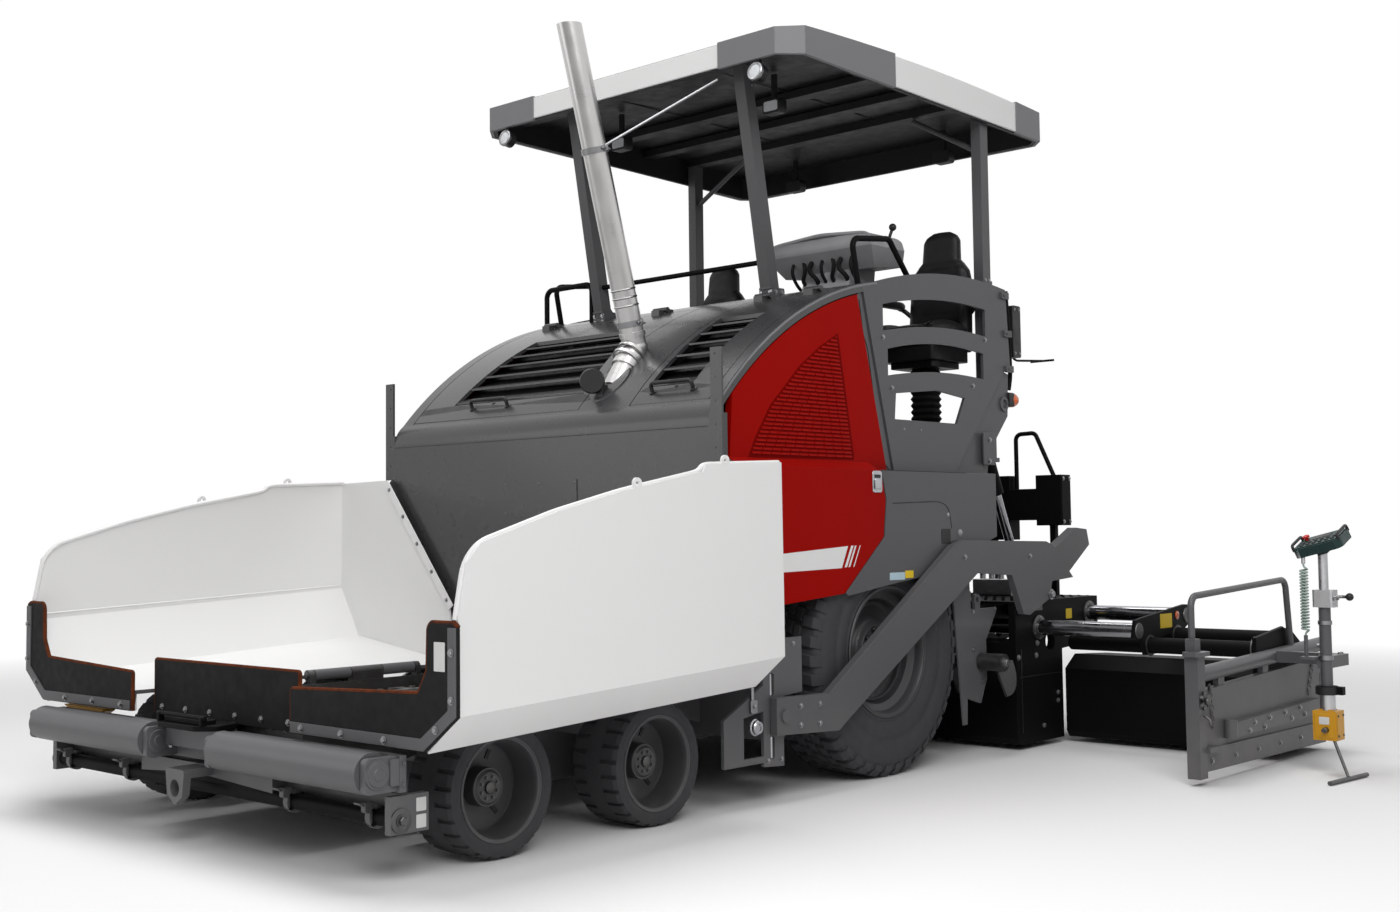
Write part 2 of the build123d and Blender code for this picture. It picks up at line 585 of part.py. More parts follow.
def rear_steps():
    """Short ladder from the screed's deck up to the operator's floor."""
    half, low, y = 260, 1310, FLOOR_REAR
    stringer = across(face([(y - 40, PLATFORM_Z - 25), (y + 60, PLATFORM_Z - 25), (y + 130, low),
                            (y + 30, low)]),
                      half, half + 12)
    treads = []
    for i in range(2):
        z = low + 30 + i * 180
        front = y + 30 - (z - low) / (PLATFORM_Z - 25 - low) * 70
        treads.append(block((-half, half), (front, front + 100), (z - 15, z)))
    return joined([both_sides(stringer), *treads])


def dash_outline():
    """Shelf behind the hood, in (y, z)."""
    return face([(HOOD_REAR, 2590), (HOOD_REAR, 2613), (330, 2668), (640, 2690), (640, 2660), (330, 2640)])


def window(y_low, y_high, low, high):
    """Window with curved top and bottom; low and high are (left z, middle z, right z)."""
    mid = (y_low + y_high) / 2
    return make_face(Wire([
        ThreePointArc((y_low, high[0]), (mid, high[1]), (y_high, high[2])),
        Line((y_high, high[2]), (y_high, low[2])),
        ThreePointArc((y_high, low[2]), (mid, low[1]), (y_low, low[0])),
        Line((y_low, low[0]), (y_low, high[0])),
    ]))


def side_plate_outline():
    return make_face(Wire([
        Line((126, DECK_Z + 5), (-128, 2574)),
        ThreePointArc((-128, 2574), (560, 2715), (1305, 2700)),
        Line((1305, 2700), (1341, 2254)),
        Line((1341, 2254), (1283, 2221)),
        Line((1283, 2221), (728, DECK_Z + 5)),
        Line((728, DECK_Z + 5), (126, DECK_Z + 5)),
    ]))


def platform_sides():
    """Side plates of the platform, with three windows between curved slats."""
    plate = across(side_plate_outline(), HOOD_X - PLATE, HOOD_X)
    cuts = [
        window(52, 1075, (2350, 2412, 2402), (2494, 2566, 2560)),
        window(90, 1045, (2112, 2160, 2150), (2256, 2318, 2300)),
        face([(145, 1880), (160, 2020), (560, 2058), (840, 2030), (755, 1880)]),
    ]
    for cut in cuts:
        plate -= across(cut, HOOD_X - PLATE, HOOD_X)
    return both_sides(plate)


def handrails():
    rails = [
        bent_tube([(1150, -90, 2540), (1150, -150, 2830), (1150, 190, 2870), (1150, 400, 2640)], 16, 50),
        bent_tube([(-720, -250, 2500), (-720, -250, 2790), (-1120, -250, 2790), (-1120, -250, 2500)], 16, 50),
        bent_tube([(-1150, -90, 2540), (-1150, -150, 2830), (-1150, 190, 2870), (-1150, 400, 2640)], 16, 50),
        rod((35 - FRONT_POST_X, -255, 2755), (FRONT_POST_X - 35, -255, 2755), 14),
    ]
    return joined(rails) - across(hood_outline(0), -HOOD_X, HOOD_X) - across(dash_outline(), -HOOD_X, HOOD_X)


def console():
    """Instrument pod with a cowl, on a neck that stands on the shelf."""
    low, high, mid = 200, 960, 580
    side = make_face(Wire([
        Line((660, 2795), (590, 2930)),
        ThreePointArc((590, 2930), (480, 2992), (330, 2968)),
        ThreePointArc((330, 2968), (292, 2930), (296, 2880)),
        Line((296, 2880), (400, 2770)),
        Line((400, 2770), (660, 2795)),
    ]))
    front = make_face(Wire([
        Line((low + 60, 2770), (low, 2880)),
        ThreePointArc((low, 2880), (low + 8, 2935), (low + 50, 2955)),
        ThreePointArc((low + 50, 2955), (mid, 2998), (high - 50, 2955)),
        ThreePointArc((high - 50, 2955), (high - 8, 2935), (high, 2880)),
        Line((high, 2880), (high - 60, 2770)),
        Line((high - 60, 2770), (low + 60, 2770)),
    ]))
    pod = across(side, low, high) & along(front, 200, 700)
    neck = across(face([(350, 2655), (600, 2655), (620, 2800), (400, 2800)]), mid - 170, mid + 170)
    return pod + (neck - across(dash_outline(), low, high))


SEAT_XS = (870, -870)


def seat(x):
    """Operator's seat on its pedestal, with armrests and headrest."""
    foot = block((x - 110, x + 110), (830, 1060), (PLATFORM_Z, PLATFORM_Z + 20))
    pedestal = block((x - 70, x + 70), (870, 1010), (PLATFORM_Z + 20, 2250))
    pan = block((x - 190, x + 190), (740, 1120), (2250, 2340))
    cushion = across(rounded([(690, 2340), (680, 2440), (730, 2482), (1100, 2455), (1110, 2340)], 30),
                     x - 225, x + 225)
    bolsters = [across(rounded([(720, 2440), (740, 2512), (1080, 2500), (1100, 2440)], 20), x + low, x + low
                       + 60)
                for low in (-225, 165)]
    profile = across(rounded([(1050, 2420), (1085, 2860), (1120, 3060), (1185, 3062), (1195, 2860),
                              (1170, 2400)], 24),
                     x - 225, x + 225)
    shape = make_face(Wire([
        Line((x - 215, 2400), (x - 205, 2760)),
        ThreePointArc((x - 205, 2760), (x - 185, 2840), (x - 130, 2880)),
        Line((x - 130, 2880), (x - 120, 3010)),
        ThreePointArc((x - 120, 3010), (x, 3070), (x + 120, 3010)),
        Line((x + 120, 3010), (x + 130, 2880)),
        ThreePointArc((x + 130, 2880), (x + 185, 2840), (x + 205, 2760)),
        Line((x + 205, 2760), (x + 215, 2400)),
        Line((x + 215, 2400), (x - 215, 2400)),
    ]))
    back = profile & along(shape, 1000, 1250)
    rests = []
    for low, high in ((x - 285, x - 235), (x + 235, x + 285)):
        inner = min((low, high), key=lambda edge: abs(edge - x))
        link = block((min(inner, x), max(inner, x)), (1078, 1108), (2620, 2650))
        rests.append(across(rounded([(770, 2615), (770, 2660), (1108, 2668), (1108, 2620)], 15), low, high)
                     + link)
    return joined([foot, pedestal, pan, cushion, *bolsters, back, *rests])


def seats():
    return seat(SEAT_XS[0]) + seat(SEAT_XS[1])


# ------------------------------------------------------------------ canopy and exhaust
TRIM, TRAY_WALL, TRAY_SHEET = 22, 22, 28
# middles of the tray's cross ribs along Y; the first and last carry the posts
ROOF_RIBS = (-440, 300, 740, 1160)
CAP_SIDE_FRONT, CAP_SIDE_REAR, CAP_INNER = 190, 1450, 720


def roof_plan(grow):
    """Canopy seen from above, with chamfered corners."""
    x, front, rear = ROOF_X - TRIM, ROOF_FRONT + TRIM, ROOF_REAR - TRIM
    plan = face([(-x + 100, front), (x - 100, front), (x, front + 100), (x, rear - 70), (x - 70, rear),
                 (-x + 70, rear), (-x, rear - 70), (-x, front + 100)])
    return offset(plan, grow, kind=Kind.INTERSECTION) if grow else plan


def roof_profile(drop, low=0):
    """Side outline of the canopy; drop lowers its arched top, low raises its lower edge."""
    front, rear, top = ROOF_FRONT - 50, ROOF_REAR + 50, ROOF_TOP - drop
    return make_face(Wire([
        ThreePointArc((front, top - 25), ((front + rear) / 2, top + 12), (rear, top - 35)),
        Line((rear, top - 35), (rear, ROOF_LOW - 15 + low)),
        Line((rear, ROOF_LOW - 15 + low), (front, ROOF_LOW + 35 + low)),
        Line((front, ROOF_LOW + 35 + low), (front, top - 25)),
    ]))


def canopy_roof():
    """Tray with an arched top, open below, with cross ribs and the two front lamps' housings."""
    wide = 2 * ROOF_X
    outer = upright(roof_plan(0), ROOF_LOW - 50, ROOF_TOP + 50) & across(roof_profile(0), -wide, wide)
    inner = upright(roof_plan(-TRAY_WALL), ROOF_LOW - 90, ROOF_TOP + 50) & across(
        roof_profile(TRAY_SHEET, -60), -wide, wide)
    ribs = [block((-ROOF_X + TRIM + TRAY_WALL, ROOF_X - TRIM - TRAY_WALL), (y - 45, y + 45),
                  (RIB_Z, ROOF_TOP - 26))
            for y in ROOF_RIBS]
    lamps = []
    for x in (-974, 974):
        y = ROOF_FRONT + TRIM
        lamps.append(rod((x, y - 18, ROOF_LOW - 32), (x, y + 34, ROOF_LOW - 40), 46)
                     + block((x - 12, x + 12), (y, y + 22), (ROOF_LOW, ROOF_LOW + 80)))
    return joined([outer - inner, *ribs, *lamps])


def canopy_trim():
    """Fascia strips and the thicker corner caps round the tray."""
    wide = 2 * ROOF_X
    strip = upright(roof_plan(TRIM - 8), ROOF_LOW - 50, ROOF_TOP + 50) - upright(
        roof_plan(0), ROOF_LOW - 50, ROOF_TOP + 50)
    cap = upright(roof_plan(TRIM), ROOF_LOW - 50, ROOF_TOP + 50) - upright(
        roof_plan(0), ROOF_LOW - 50, ROOF_TOP + 50)
    strip &= across(roof_profile(6, 8), -wide, wide)
    cap &= across(roof_profile(-4, -4), -wide, wide)
    low, high, far = ROOF_LOW - 100, ROOF_TOP + 100, ROOF_FRONT - 100
    front_strip = block((-CAP_INNER, CAP_INNER), (far, 0), (low, high))
    side_strip = both_sides(block((CAP_INNER, wide), (CAP_SIDE_FRONT, CAP_SIDE_REAR), (low, high)))
    rear_strip = block((-CAP_INNER, CAP_INNER), (CAP_SIDE_REAR, ROOF_REAR + 100), (low, high))
    strips = [strip & part for part in (front_strip, side_strip, rear_strip)]
    caps = cap - front_strip - side_strip - rear_strip
    return joined([*strips, caps])


def canopy_posts():
    """Front posts that lean forward from the hood, and upright rear posts."""
    front = across(face([(-250, 2500), (-170, 2500), (-402, RIB_Z), (-478, RIB_Z)]),
                   FRONT_POST_X - 35, FRONT_POST_X + 35)
    front -= across(hood_outline(0), 0, HOOD_X)
    rear = block((REAR_POST_X - 32, REAR_POST_X + 32), (1120, 1200), (2700, RIB_Z))
    brace = rod((REAR_POST_X - 10, 1160, ROOF_LOW - 160), (REAR_POST_X - 465, 1160, RIB_Z - 15), 16)
    base = block((FRONT_POST_X - 48, FRONT_POST_X + 48), (-262, -158), (2500, 2600)) - across(
        hood_outline(0), 0, HOOD_X)
    return both_sides(front + base) + both_sides(rear + brace)


EXHAUST_X, EXHAUST_R = 335, 64


def exhaust():
    """Stack that leans forward from a knee above the hood, with a clamp band and an open, slanted outlet."""
    foot = (EXHAUST_X, -1120, hood_z(-1120) - 60)
    knee, top = (EXHAUST_X, -964, 2253), (EXHAUST_X, -1434, 3920)
    near = (EXHAUST_X - 200, EXHAUST_X + 200)
    pipe = rod(foot, knee, EXHAUST_R) + rod(knee, top, EXHAUST_R)
    pipe += Pos(*knee) * Sphere(EXHAUST_R + 4)
    pipe += rod(between(foot, knee, 0.5), between(foot, knee, 0.78), EXHAUST_R + 10)
    pipe += rod(between(knee, top, 0.035), between(knee, top, 0.05), EXHAUST_R + 6)
    pipe -= across(hood_outline(0), *near)
    pipe -= across(face([(-1600, 3860), (-1300, 3885), (-1300, 4100), (-1600, 4100)]), *near)
    return pipe - rod(between(knee, top, 0.85), between(knee, top, 1.05), EXHAUST_R - 5)


# ------------------------------------------------------------------ hopper wings
def wing_section(rise):
    """Wall and tucked skirt of the wing where its lower edge has climbed by the rise: (x, z)."""
    x = WING_X
    return [(1487, 497 + rise), (x, 640 + rise), (x, 1000), (x - WING_SHEET, 1000),
            (x - WING_SHEET, 650 + rise),
            (1478, 514 + rise)]


def floor_section(rise):
    return [(HINGE_X + 38, HINGE_Z - 18), (1490, 600 + rise), (WING_X - 8, 880 + rise),
            (WING_X - 8, 905 + rise),
            (1478, 620 + rise), (HINGE_X + 38, HINGE_Z)]


def section_loft(section):
    faces = []
    for y, rise in ((WING_FRONT, 0), (WING_REAR, WING_RISE)):
        plane = Plane(origin=(0, y, 0), x_dir=(1, 0, 0), z_dir=(0, -1, 0))
        faces.append(plane * face(section(rise)))
    return loft(faces, ruled=True)


FLAP_LOW = ROLLER_Z + ROLLER_R + CLEAR + 1  # the swinging push rollers pass below the flaps
WING_EYES = ((-2310, 1473), (-1770, 1578))  # lifting eyes on the wing's top edge: (y, z)


def wing_eye(y, z):
    outline = make_face(Wire([
        Line((y + 24, z - 20), (y + 24, z + 14)),
        ThreePointArc((y + 24, z + 14), (y, z + 38), (y - 24, z + 14)),
        Line((y - 24, z + 14), (y - 24, z - 20)),
        Line((y - 24, z - 20), (y + 24, z - 20)),
    ]))
    plate = across(outline, WING_X - 15, WING_X - 3)
    return plate - rod((WING_X - 20, y, z + 14), (WING_X, y, z + 14), 10)


def hopper_wing():
    shell = section_loft(wing_section) + section_loft(floor_section)
    wall = across(
        face([(WING_FRONT, 980), (-3200, 1190), (-3130, 1262), (-2752, 1374), (-2391, 1458), (-1917, 1544),
              (-1901, 1573), (-1397, 1593), (WING_REAR, 980)]),
        WING_X - WING_SHEET, WING_X)
    rear = along(
        face([(HINGE_X + 38, HINGE_Z - 10), (1490, 600 + WING_RISE), (1655, 740), (1655, 1590), (1225, 1597),
              (660, 885), (HINGE_X + 38, 720)]), WING_REAR - 12, WING_REAR)
    lip = along(face([(HINGE_X + 38, FLAP_LOW + 4), (1487, FLAP_LOW), (1487, 605),
                      (HINGE_X + 38, HINGE_Z - 5)]),
                WING_FRONT, WING_FRONT + 12)
    eyes = [wing_eye(y, z) for y, z in WING_EYES]
    wing = joined([shell, wall, rear, lip, *eyes])
    for low, high in WING_SLEEVES:
        wing += rod((HINGE_X, low, HINGE_Z), (HINGE_X, high, HINGE_Z), SLEEVE_R)
        wing += block((HINGE_X + 15, HINGE_X + 50), (low, high), (HINGE_Z - 18, HINGE_Z))
        wing -= rod((HINGE_X, low - 1, HINGE_Z), (HINGE_X, high + 1, HINGE_Z), PIN_R)
    return wing


def wing_flap():
    outline = face([(632, FLAP_LOW + 3), (1487, FLAP_LOW), (1672, 640), (1672, 960), (1655, 975), (1520, 975),
                    (1505, 955), (1500, 800), (1450, 715), (632, 685)])
    return along(outline, WING_FRONT - 18, WING_FRONT)


# ------------------------------------------------------------------ screed
# side outline of a tow arm: (y, z) of each corner, from the tow point up, over the wheel and down
ARM_OUTLINE = (
    (-1045, 500), (-1045, 325), (-560, 302), (-490, 345), (738, 1040), (1099, 1018), (1221, 790), (1288, 782),
    (1523, 871), (1552, 970), (1805, 986), (1575, 1183), (1493, 1207), (603, 1224), (501, 1198), (-640, 490),
)


def tow_arms():
    arm = across(face(ARM_OUTLINE), ARM_IN, ARM_OUT)
    arm -= rod((ARM_IN, *TOW_POINT), (ARM_OUT, *TOW_POINT), TOW_PIN_R)
    foot = block((MAIN_X, ARM_IN), (1240, 1500), (800, 860))
    ear = across(face([(1480, 1000), (1800, 1000), (2090, 1180), (2060, 1275), (1930, 1285), (1560, 1120)]),
                 ARM_IN - 60, ARM_IN)
    pin = rod((LIFT_X - 45, *LIFT_LOW), (ARM_IN - 60, *LIFT_LOW), LIFT_PIN_R)
    return both_sides(joined([arm, foot, ear, pin]))


def screed_main():
    body = across(
        face([(MAIN_FRONT, 70), (MAIN_FRONT + 30, 32), (MAIN_REAR, 32), (MAIN_REAR, 420), (1680, 540),
              (1540, 540),
              (1540, 620), (MAIN_FRONT, 620)]), -MAIN_X, MAIN_X)
    plate_outline = face([(MAIN_FRONT, 600), (1540, 540), (1680, 500), (MAIN_REAR, 420), (MAIN_REAR, 560),
                          (2190, 590), (2190, 845), (MAIN_FRONT, 860)])
    plates = []
    for x in (MAIN_X - 50, 660):
        plates.append(both_sides(across(plate_outline, x, x + 50)))
    deck = block((-MAIN_X, MAIN_X), (MAIN_FRONT, 2190), (845, 860))
    main = joined([body, *plates, deck, both_sides(cabinets())])
    for y, z in UPPER_TUBES:
        main -= rod((-MAIN_X, y, z), (MAIN_X, y, z), TUBE_R)
    for y, z in LOWER_TUBES:
        main -= rod((-MAIN_X, y, z), (MAIN_X, y, z), TUBE_R + 8)
    return main


# control boxes behind the screed's deck: (low x, high x, low z, high z)
CABINETS = ((930, 1110, 1300, 1620), (740, 930, 1335, 1535), (470, 740, 1210, 1623))


def cabinets():
    """Control boxes on two posts with a guard rail."""
    front, rear = 2070, 2190
    boxes = [block((low, high), (front, rear), (floor, top)) for low, high, floor, top in CABINETS]
    posts = [block((x, x + 40), (front + 40, front + 80), (850, 1400)) for x in (1000, 560)]
    mid = (front + rear) / 2
    guard = bent_tube([(760, mid, 1520), (760, mid, 1890), (900, mid, 1895), (1035, mid, 1600)], 14, 40)
    return joined([*boxes, *posts, guard])


MID_X, MID_THICK = 1893, 20


def extension_stage():
    plate = across(
        face([(1400, 660), (1430, 760), (1500, 770), (2060, 825), (2140, 820), (2150, 730), (2060, 690),
              (1990, 590),
              (1900, 590), (1860, 660), (1720, 650), (1680, 560), (1540, 560), (1500, 650)]), MID_X, MID_X
              + MID_THICK)
    for y, z in LOWER_TUBES:
        plate -= rod((MID_X - 5, y, z), (MID_X + 50, y, z), TUBE_R)
    tubes = [rod((650, y, z), (MID_X + 10, y, z), TUBE_R - FIT) for y, z in UPPER_TUBES]
    return joined([plate, *tubes])


def screed_extension():
    body = across(
        face([(EXT_FRONT, 70), (EXT_FRONT + 30, 32), (EXT_REAR, 32), (EXT_REAR, 300), (EXT_REAR - 90, 420),
              (EXT_REAR - 90, 500), (EXT_FRONT + 120, 520), (EXT_FRONT, 440)]), MAIN_X + 10, GATE_X - 10)
    end = across(face([(1540, 440), (EXT_REAR - 100, 440), (EXT_REAR - 100, 560), (2020, 700), (1900, 720),
                       (1540, 680)]), GATE_X - 24, GATE_X)
    tubes = [rod((1420, y, z), (GATE_X - 10, y, z), TUBE_R - FIT) for y, z in LOWER_TUBES]
    return joined([body, end, *tubes])


def end_gate():
    """Side plate with its post, top rail, hand loop, stiffening channel and skid."""
    outer = GATE_X + GATE_THICK
    plate = across(face([(700, 185), (745, 60), (2330, 45), (2400, 110), (2400, 530), (700, 460)]), GATE_X,
                   outer)
    post = block((GATE_X - 20, GATE_X + 70), (660, 740), (35, 640))
    head = upright(rounded([(GATE_X - 8, 632), (GATE_X + 95, 632), (GATE_X + 95, 768), (GATE_X - 8, 768)],
                           25),
                   640, 662)
    middle = GATE_X + 22
    rail = rod((middle, 700, 538), (middle, 2380, 598), 40)
    lugs = [block((GATE_X + 8, GATE_X + 38), (y - 35, y + 35), (440, 560)) for y in (1000, 1560, 2120)]
    hand = bent_tube([(middle, 705, 560), (middle, 705, 935), (middle, 1900, 985), (middle, 1955, 600)], 17,
                     60)
    clamp = block((GATE_X - 8, GATE_X + 52), (675, 735), (655, 725))
    channel = across(face([(1071, 205), (2200, 221), (2200, 308), (1071, 280)]), outer, outer + 38)
    pivot = rod((outer + 26, 1020, 205), (outer + 26, 1020, 300), 34)
    skid = across(face([(735, 62), (2330, 47), (2330, 165), (735, 175)]), outer, outer + 12)
    fork = block((outer, outer + 45), (730, 860), (160, 185))
    gate = joined([plate, post, head, rail, *lugs, hand, clamp, channel, pivot, skid, fork])
    return gate - block((GATE_X - 100, GATE_X), (600, 2500), (0, 1100))


POLE_X, POLE_Y = 2960, 1450
CORD_X, CORD_Y = POLE_X - 82, POLE_Y - 50
CORD_LOW, CORD_TOP, COIL_R = 715, 1085, 24
GEAR_Z = 545  # underside of the arm that carries the pole, against the gate's top rail


def levelling_gear(side):
    """Sensor pole with its height drive, touching bar, clamps and the operator's panel."""
    pole = rod((POLE_X, POLE_Y, 440), (POLE_X, POLE_Y, 880), 30)
    sleeve = rod((POLE_X, POLE_Y, 330), (POLE_X, POLE_Y, 440), 38)
    clamp = rod((POLE_X, POLE_Y, 410), (POLE_X, POLE_Y, 455), 52)
    clamp += block((POLE_X + 30, POLE_X + 85), (POLE_Y - 20, POLE_Y + 20), (412, 453))
    head = upright(rounded([(POLE_X - 48, POLE_Y - 42), (POLE_X + 58, POLE_Y - 42),
                            (POLE_X + 58, POLE_Y + 42),
                            (POLE_X - 48, POLE_Y + 42)], 12), 860, 950)
    knob = rod((POLE_X + 50, POLE_Y, 915), (POLE_X + 120, POLE_Y, 915), 8)
    knob += Pos(POLE_X + 130, POLE_Y, 915) * Sphere(20)
    arm = block((GATE_X + 62 + SEAT, POLE_X), (POLE_Y + 200, POLE_Y + 260), (GEAR_Z, GEAR_Z + 60))
    arm += block((POLE_X - 40, POLE_X + 20), (POLE_Y - 20, POLE_Y + 260), (GEAR_Z, GEAR_Z + 60))
    box = block((POLE_X - 60, POLE_X + 60), (POLE_Y - 55, POLE_Y + 55), (180, 330))
    stem = rod((POLE_X + 40, POLE_Y - 40, 185), (POLE_X + 150, POLE_Y - 160, 20), 8)
    bar = rod((POLE_X + 130, POLE_Y - 360, 12), (POLE_X + 170, POLE_Y + 40, 12), 11)
    neck = rod((POLE_X, POLE_Y, 930), (POLE_X, POLE_Y, 1180), 24)
    slab = upright(rounded([(-130, -90), (130, -90), (130, 90), (-130, 90)], 35), -24, 24)
    panel = Pos(POLE_X, POLE_Y, 1190) * Rot(20, -15, 0) * slab
    gear = [pole, sleeve, clamp, head, knob, arm, box, stem, bar, neck, panel]
    if side == "left":
        shelf = block((CORD_X - 25, POLE_X - 30), (CORD_Y - 25, POLE_Y), (GEAR_Z + 45, GEAR_Z + 60))
        gear += [shelf, rod((CORD_X, CORD_Y, GEAR_Z + 45), (CORD_X, CORD_Y, CORD_LOW), 10),
                 rod((CORD_X, CORD_Y, CORD_TOP), (CORD_X, CORD_Y, 1170), 10)]
    return joined(gear)


def panel_cord():
    """The panel's curly cord as one plain tube of its outer size."""
    return rod((CORD_X, CORD_Y, CORD_LOW), (CORD_X, CORD_Y, CORD_TOP), COIL_R)


# ------------------------------------------------------------------ augers
AUGER_PITCH, AUGER_TURNS, AUGER_END_R = 300, 3, 28
HANGER_IN, HANGER_THICK = 1176, 20
AUGER_TIP_X, AUGER_TIP_R = 1354, 50


def flight(x, sign):
    """Half a turn of the auger's blade, as half a leaning disc."""
    lean = atan2(AUGER_PITCH, 4 * AUGER_R)
    disc = Pos(x, AUGER_Y, AUGER_Z) * Rot(0, 90 + sign * degrees(lean), 0) * Cylinder(AUGER_R / cos(lean), 14)
    half = (AUGER_Y - 400, AUGER_Y) if sign > 0 else (AUGER_Y, AUGER_Y + 400)
    return disc & block((x - 400, x + 400), half, (AUGER_Z - 400, AUGER_Z + 400))


def auger():
    """Distribution auger that runs through its hanger, with a short blade on the outer end."""
    hanger_out = HANGER_IN + HANGER_THICK
    shaft = rod((75, AUGER_Y, AUGER_Z), (HANGER_IN - 6, AUGER_Y, AUGER_Z), AUGER_SHAFT_R)
    shaft += rod((40, AUGER_Y, AUGER_Z), (hanger_out + 20, AUGER_Y, AUGER_Z), AUGER_END_R - FIT)
    shaft += rod((hanger_out + 6, AUGER_Y, AUGER_Z), (AUGER_TIP_X, AUGER_Y, AUGER_Z), AUGER_TIP_R)
    flights = [flight(210 + i * AUGER_PITCH / 2, 1 if i % 2 == 0 else -1) for i in range(2 * AUGER_TURNS)]
    outer = flight(AUGER_TIP_X - 71, -1) & block((hanger_out + 8, 2000), (0, 2000), (0, AUGER_Z))
    trim = rod((0, AUGER_Y, AUGER_Z), (2000, AUGER_Y, AUGER_Z), AUGER_R)
    return shaft + (joined([*flights, outer]) & trim)


def auger_carrier():
    """Drive case in the middle, hangers with lifting eyes at the ends and the plates behind the tyres."""
    y, z = AUGER_Y, AUGER_Z
    case = across(rounded([(y - 90, z - 100), (y + 90, z - 100), (y + 90, z + 230), (FRAME_REAR + 20, 930),
                           (FRAME_REAR, 930), (FRAME_REAR, z + 110), (y - 90, z + 60)], 8), -68, 68)
    plate = face([(FRAME_REAR, 1000), (FRAME_REAR, z + 170), (803, z - 194), (947, z - 235),
                  (y + 64, z - 100),
                  (y + 64, z + 119), (1132, 812), (1132, 830), (860, 830), (850, 1000)])
    hanger = across(plate, HANGER_IN, HANGER_IN + HANGER_THICK)
    hanger += rod((HANGER_IN, y - 19, 880), (HANGER_IN + HANGER_THICK, y - 19, 880), 34)
    hanger += block((HANGER_IN, HANGER_IN + HANGER_THICK), (y - 45, y + 7), (820, 870))
    hanger -= rod((HANGER_IN - 1, y - 19, 882), (HANGER_IN + HANGER_THICK + 1, y - 19, 882), 16)
    guard = across(face([(655, 1000), (850, 930), (800, 560), (785, 190), (745, 190)]),
                   HANGER_IN + HANGER_THICK, HANGER_IN + HANGER_THICK + 10)
    guard -= rod((HANGER_IN, y, z), (1300, y, z), AUGER_TIP_R + 10)
    beam = block((-HANGER_IN - HANGER_THICK, HANGER_IN + HANGER_THICK), (FRAME_REAR, FRAME_REAR + 60),
                 (930, 1000))
    bores = rod((35, y, z), (1230, y, z), AUGER_END_R)
    return joined([case, both_sides(hanger + guard), beam]) - both_sides(bores)


LIFT_RUN = hypot(LIFT_LOW[0] - LIFT_TOP[0], LIFT_LOW[1] - LIFT_TOP[1])
LIFT_BORE_R, LIFT_BARREL = 28, 560


def on_lift(distance):
    """Point on the lift cylinder's axis so far from its upper pin."""
    share = distance / LIFT_RUN
    return between((LIFT_X, *LIFT_TOP), (LIFT_X, *LIFT_LOW), share)


def lift_barrels():
    barrel = rod(on_lift(25), on_lift(LIFT_BARREL), 45) - rod(on_lift(60), on_lift(LIFT_BARREL + 10),
                                                              LIFT_BORE_R)
    barrel += rod((LIFT_X - 38, *LIFT_TOP), (LIFT_X + 38, *LIFT_TOP), 42)
    return both_sides(barrel - rod((LIFT_X - 60, *LIFT_TOP), (LIFT_X + 60, *LIFT_TOP), LIFT_PIN_R))


def lift_rods():
    piston = rod(on_lift(LIFT_BARREL - 120), on_lift(LIFT_RUN - 40), LIFT_BORE_R - FIT)
    eye = rod((LIFT_X - 30, *LIFT_LOW), (LIFT_X + 30, *LIFT_LOW), 55)
    eye -= rod((LIFT_X - 40, *LIFT_LOW), (LIFT_X + 40, *LIFT_LOW), LIFT_PIN_R + LIFT_PLAY)
    return both_sides(piston + eye)


# ------------------------------------------------------------------ writing every piece
save("chassis_frame", chassis_frame())
save("engine_block", engine_block())
save("hopper_floor", hopper_floor())
save("conveyor", conveyor())
save("centre_flap", centre_flap())
save("front_beam", front_beam())
save("push_beam", push_beam())
save("axles", rear_axle() + front_bogies())
save("hood", hood() + both_sides(door_hinges()))
save("side_bodies", side_bodies())
save("platform", platform())
save("handrails", handrails())
save("console", console())
save("seats", seats())
save("canopy_roof", canopy_roof())
save("canopy_trim", canopy_trim())
save("canopy_posts", canopy_posts())
save("exhaust", exhaust())
save("panel_cord", panel_cord())
save("auger_carrier", auger_carrier())
save("tow_arms", tow_arms())
save("screed_main", screed_main())
save("lift_barrels", lift_barrels())
save("lift_rods", lift_rods())
for side, sign in SIDES:
    save(f"rear_tyre_{side}", on_side(tyre(REAR_R, REAR_W, REAR_RIM_R, (REAR_X, 0, REAR_R)), sign))
    save(f"rear_rim_{side}", on_side(rear_rim((REAR_X, 0, REAR_R)), sign))
    for number, y in enumerate(FRONT_WHEEL_YS, start=1):
        place = (FRONT_X, y, FRONT_R)
        save(f"front_tyre_{side}_{number}", on_side(tyre(FRONT_R, FRONT_W, FRONT_RIM_R, place), sign))
        save(f"front_rim_{side}_{number}", on_side(front_rim(place), sign))
        save(f"knuckle_{side}_{number}", on_side(knuckle(y), sign))
    save(f"push_roller_{side}", on_side(push_roller(), sign))
    save(f"hopper_wing_{side}", on_side(hopper_wing(), sign))
    save(f"wing_flap_{side}", on_side(wing_flap(), sign))
    save(f"engine_lid_{side}", engine_lid(side))
    save(f"service_door_{side}", on_side(service_door(), sign))
    save(f"auger_{side}", on_side(auger(), sign))
    save(f"extension_stage_{side}", on_side(extension_stage(), sign))
    save(f"screed_extension_{side}", on_side(screed_extension(), sign))
    save(f"end_gate_{side}", on_side(end_gate(), sign))
    save(f"levelling_gear_{side}", on_side(levelling_gear(side), sign))
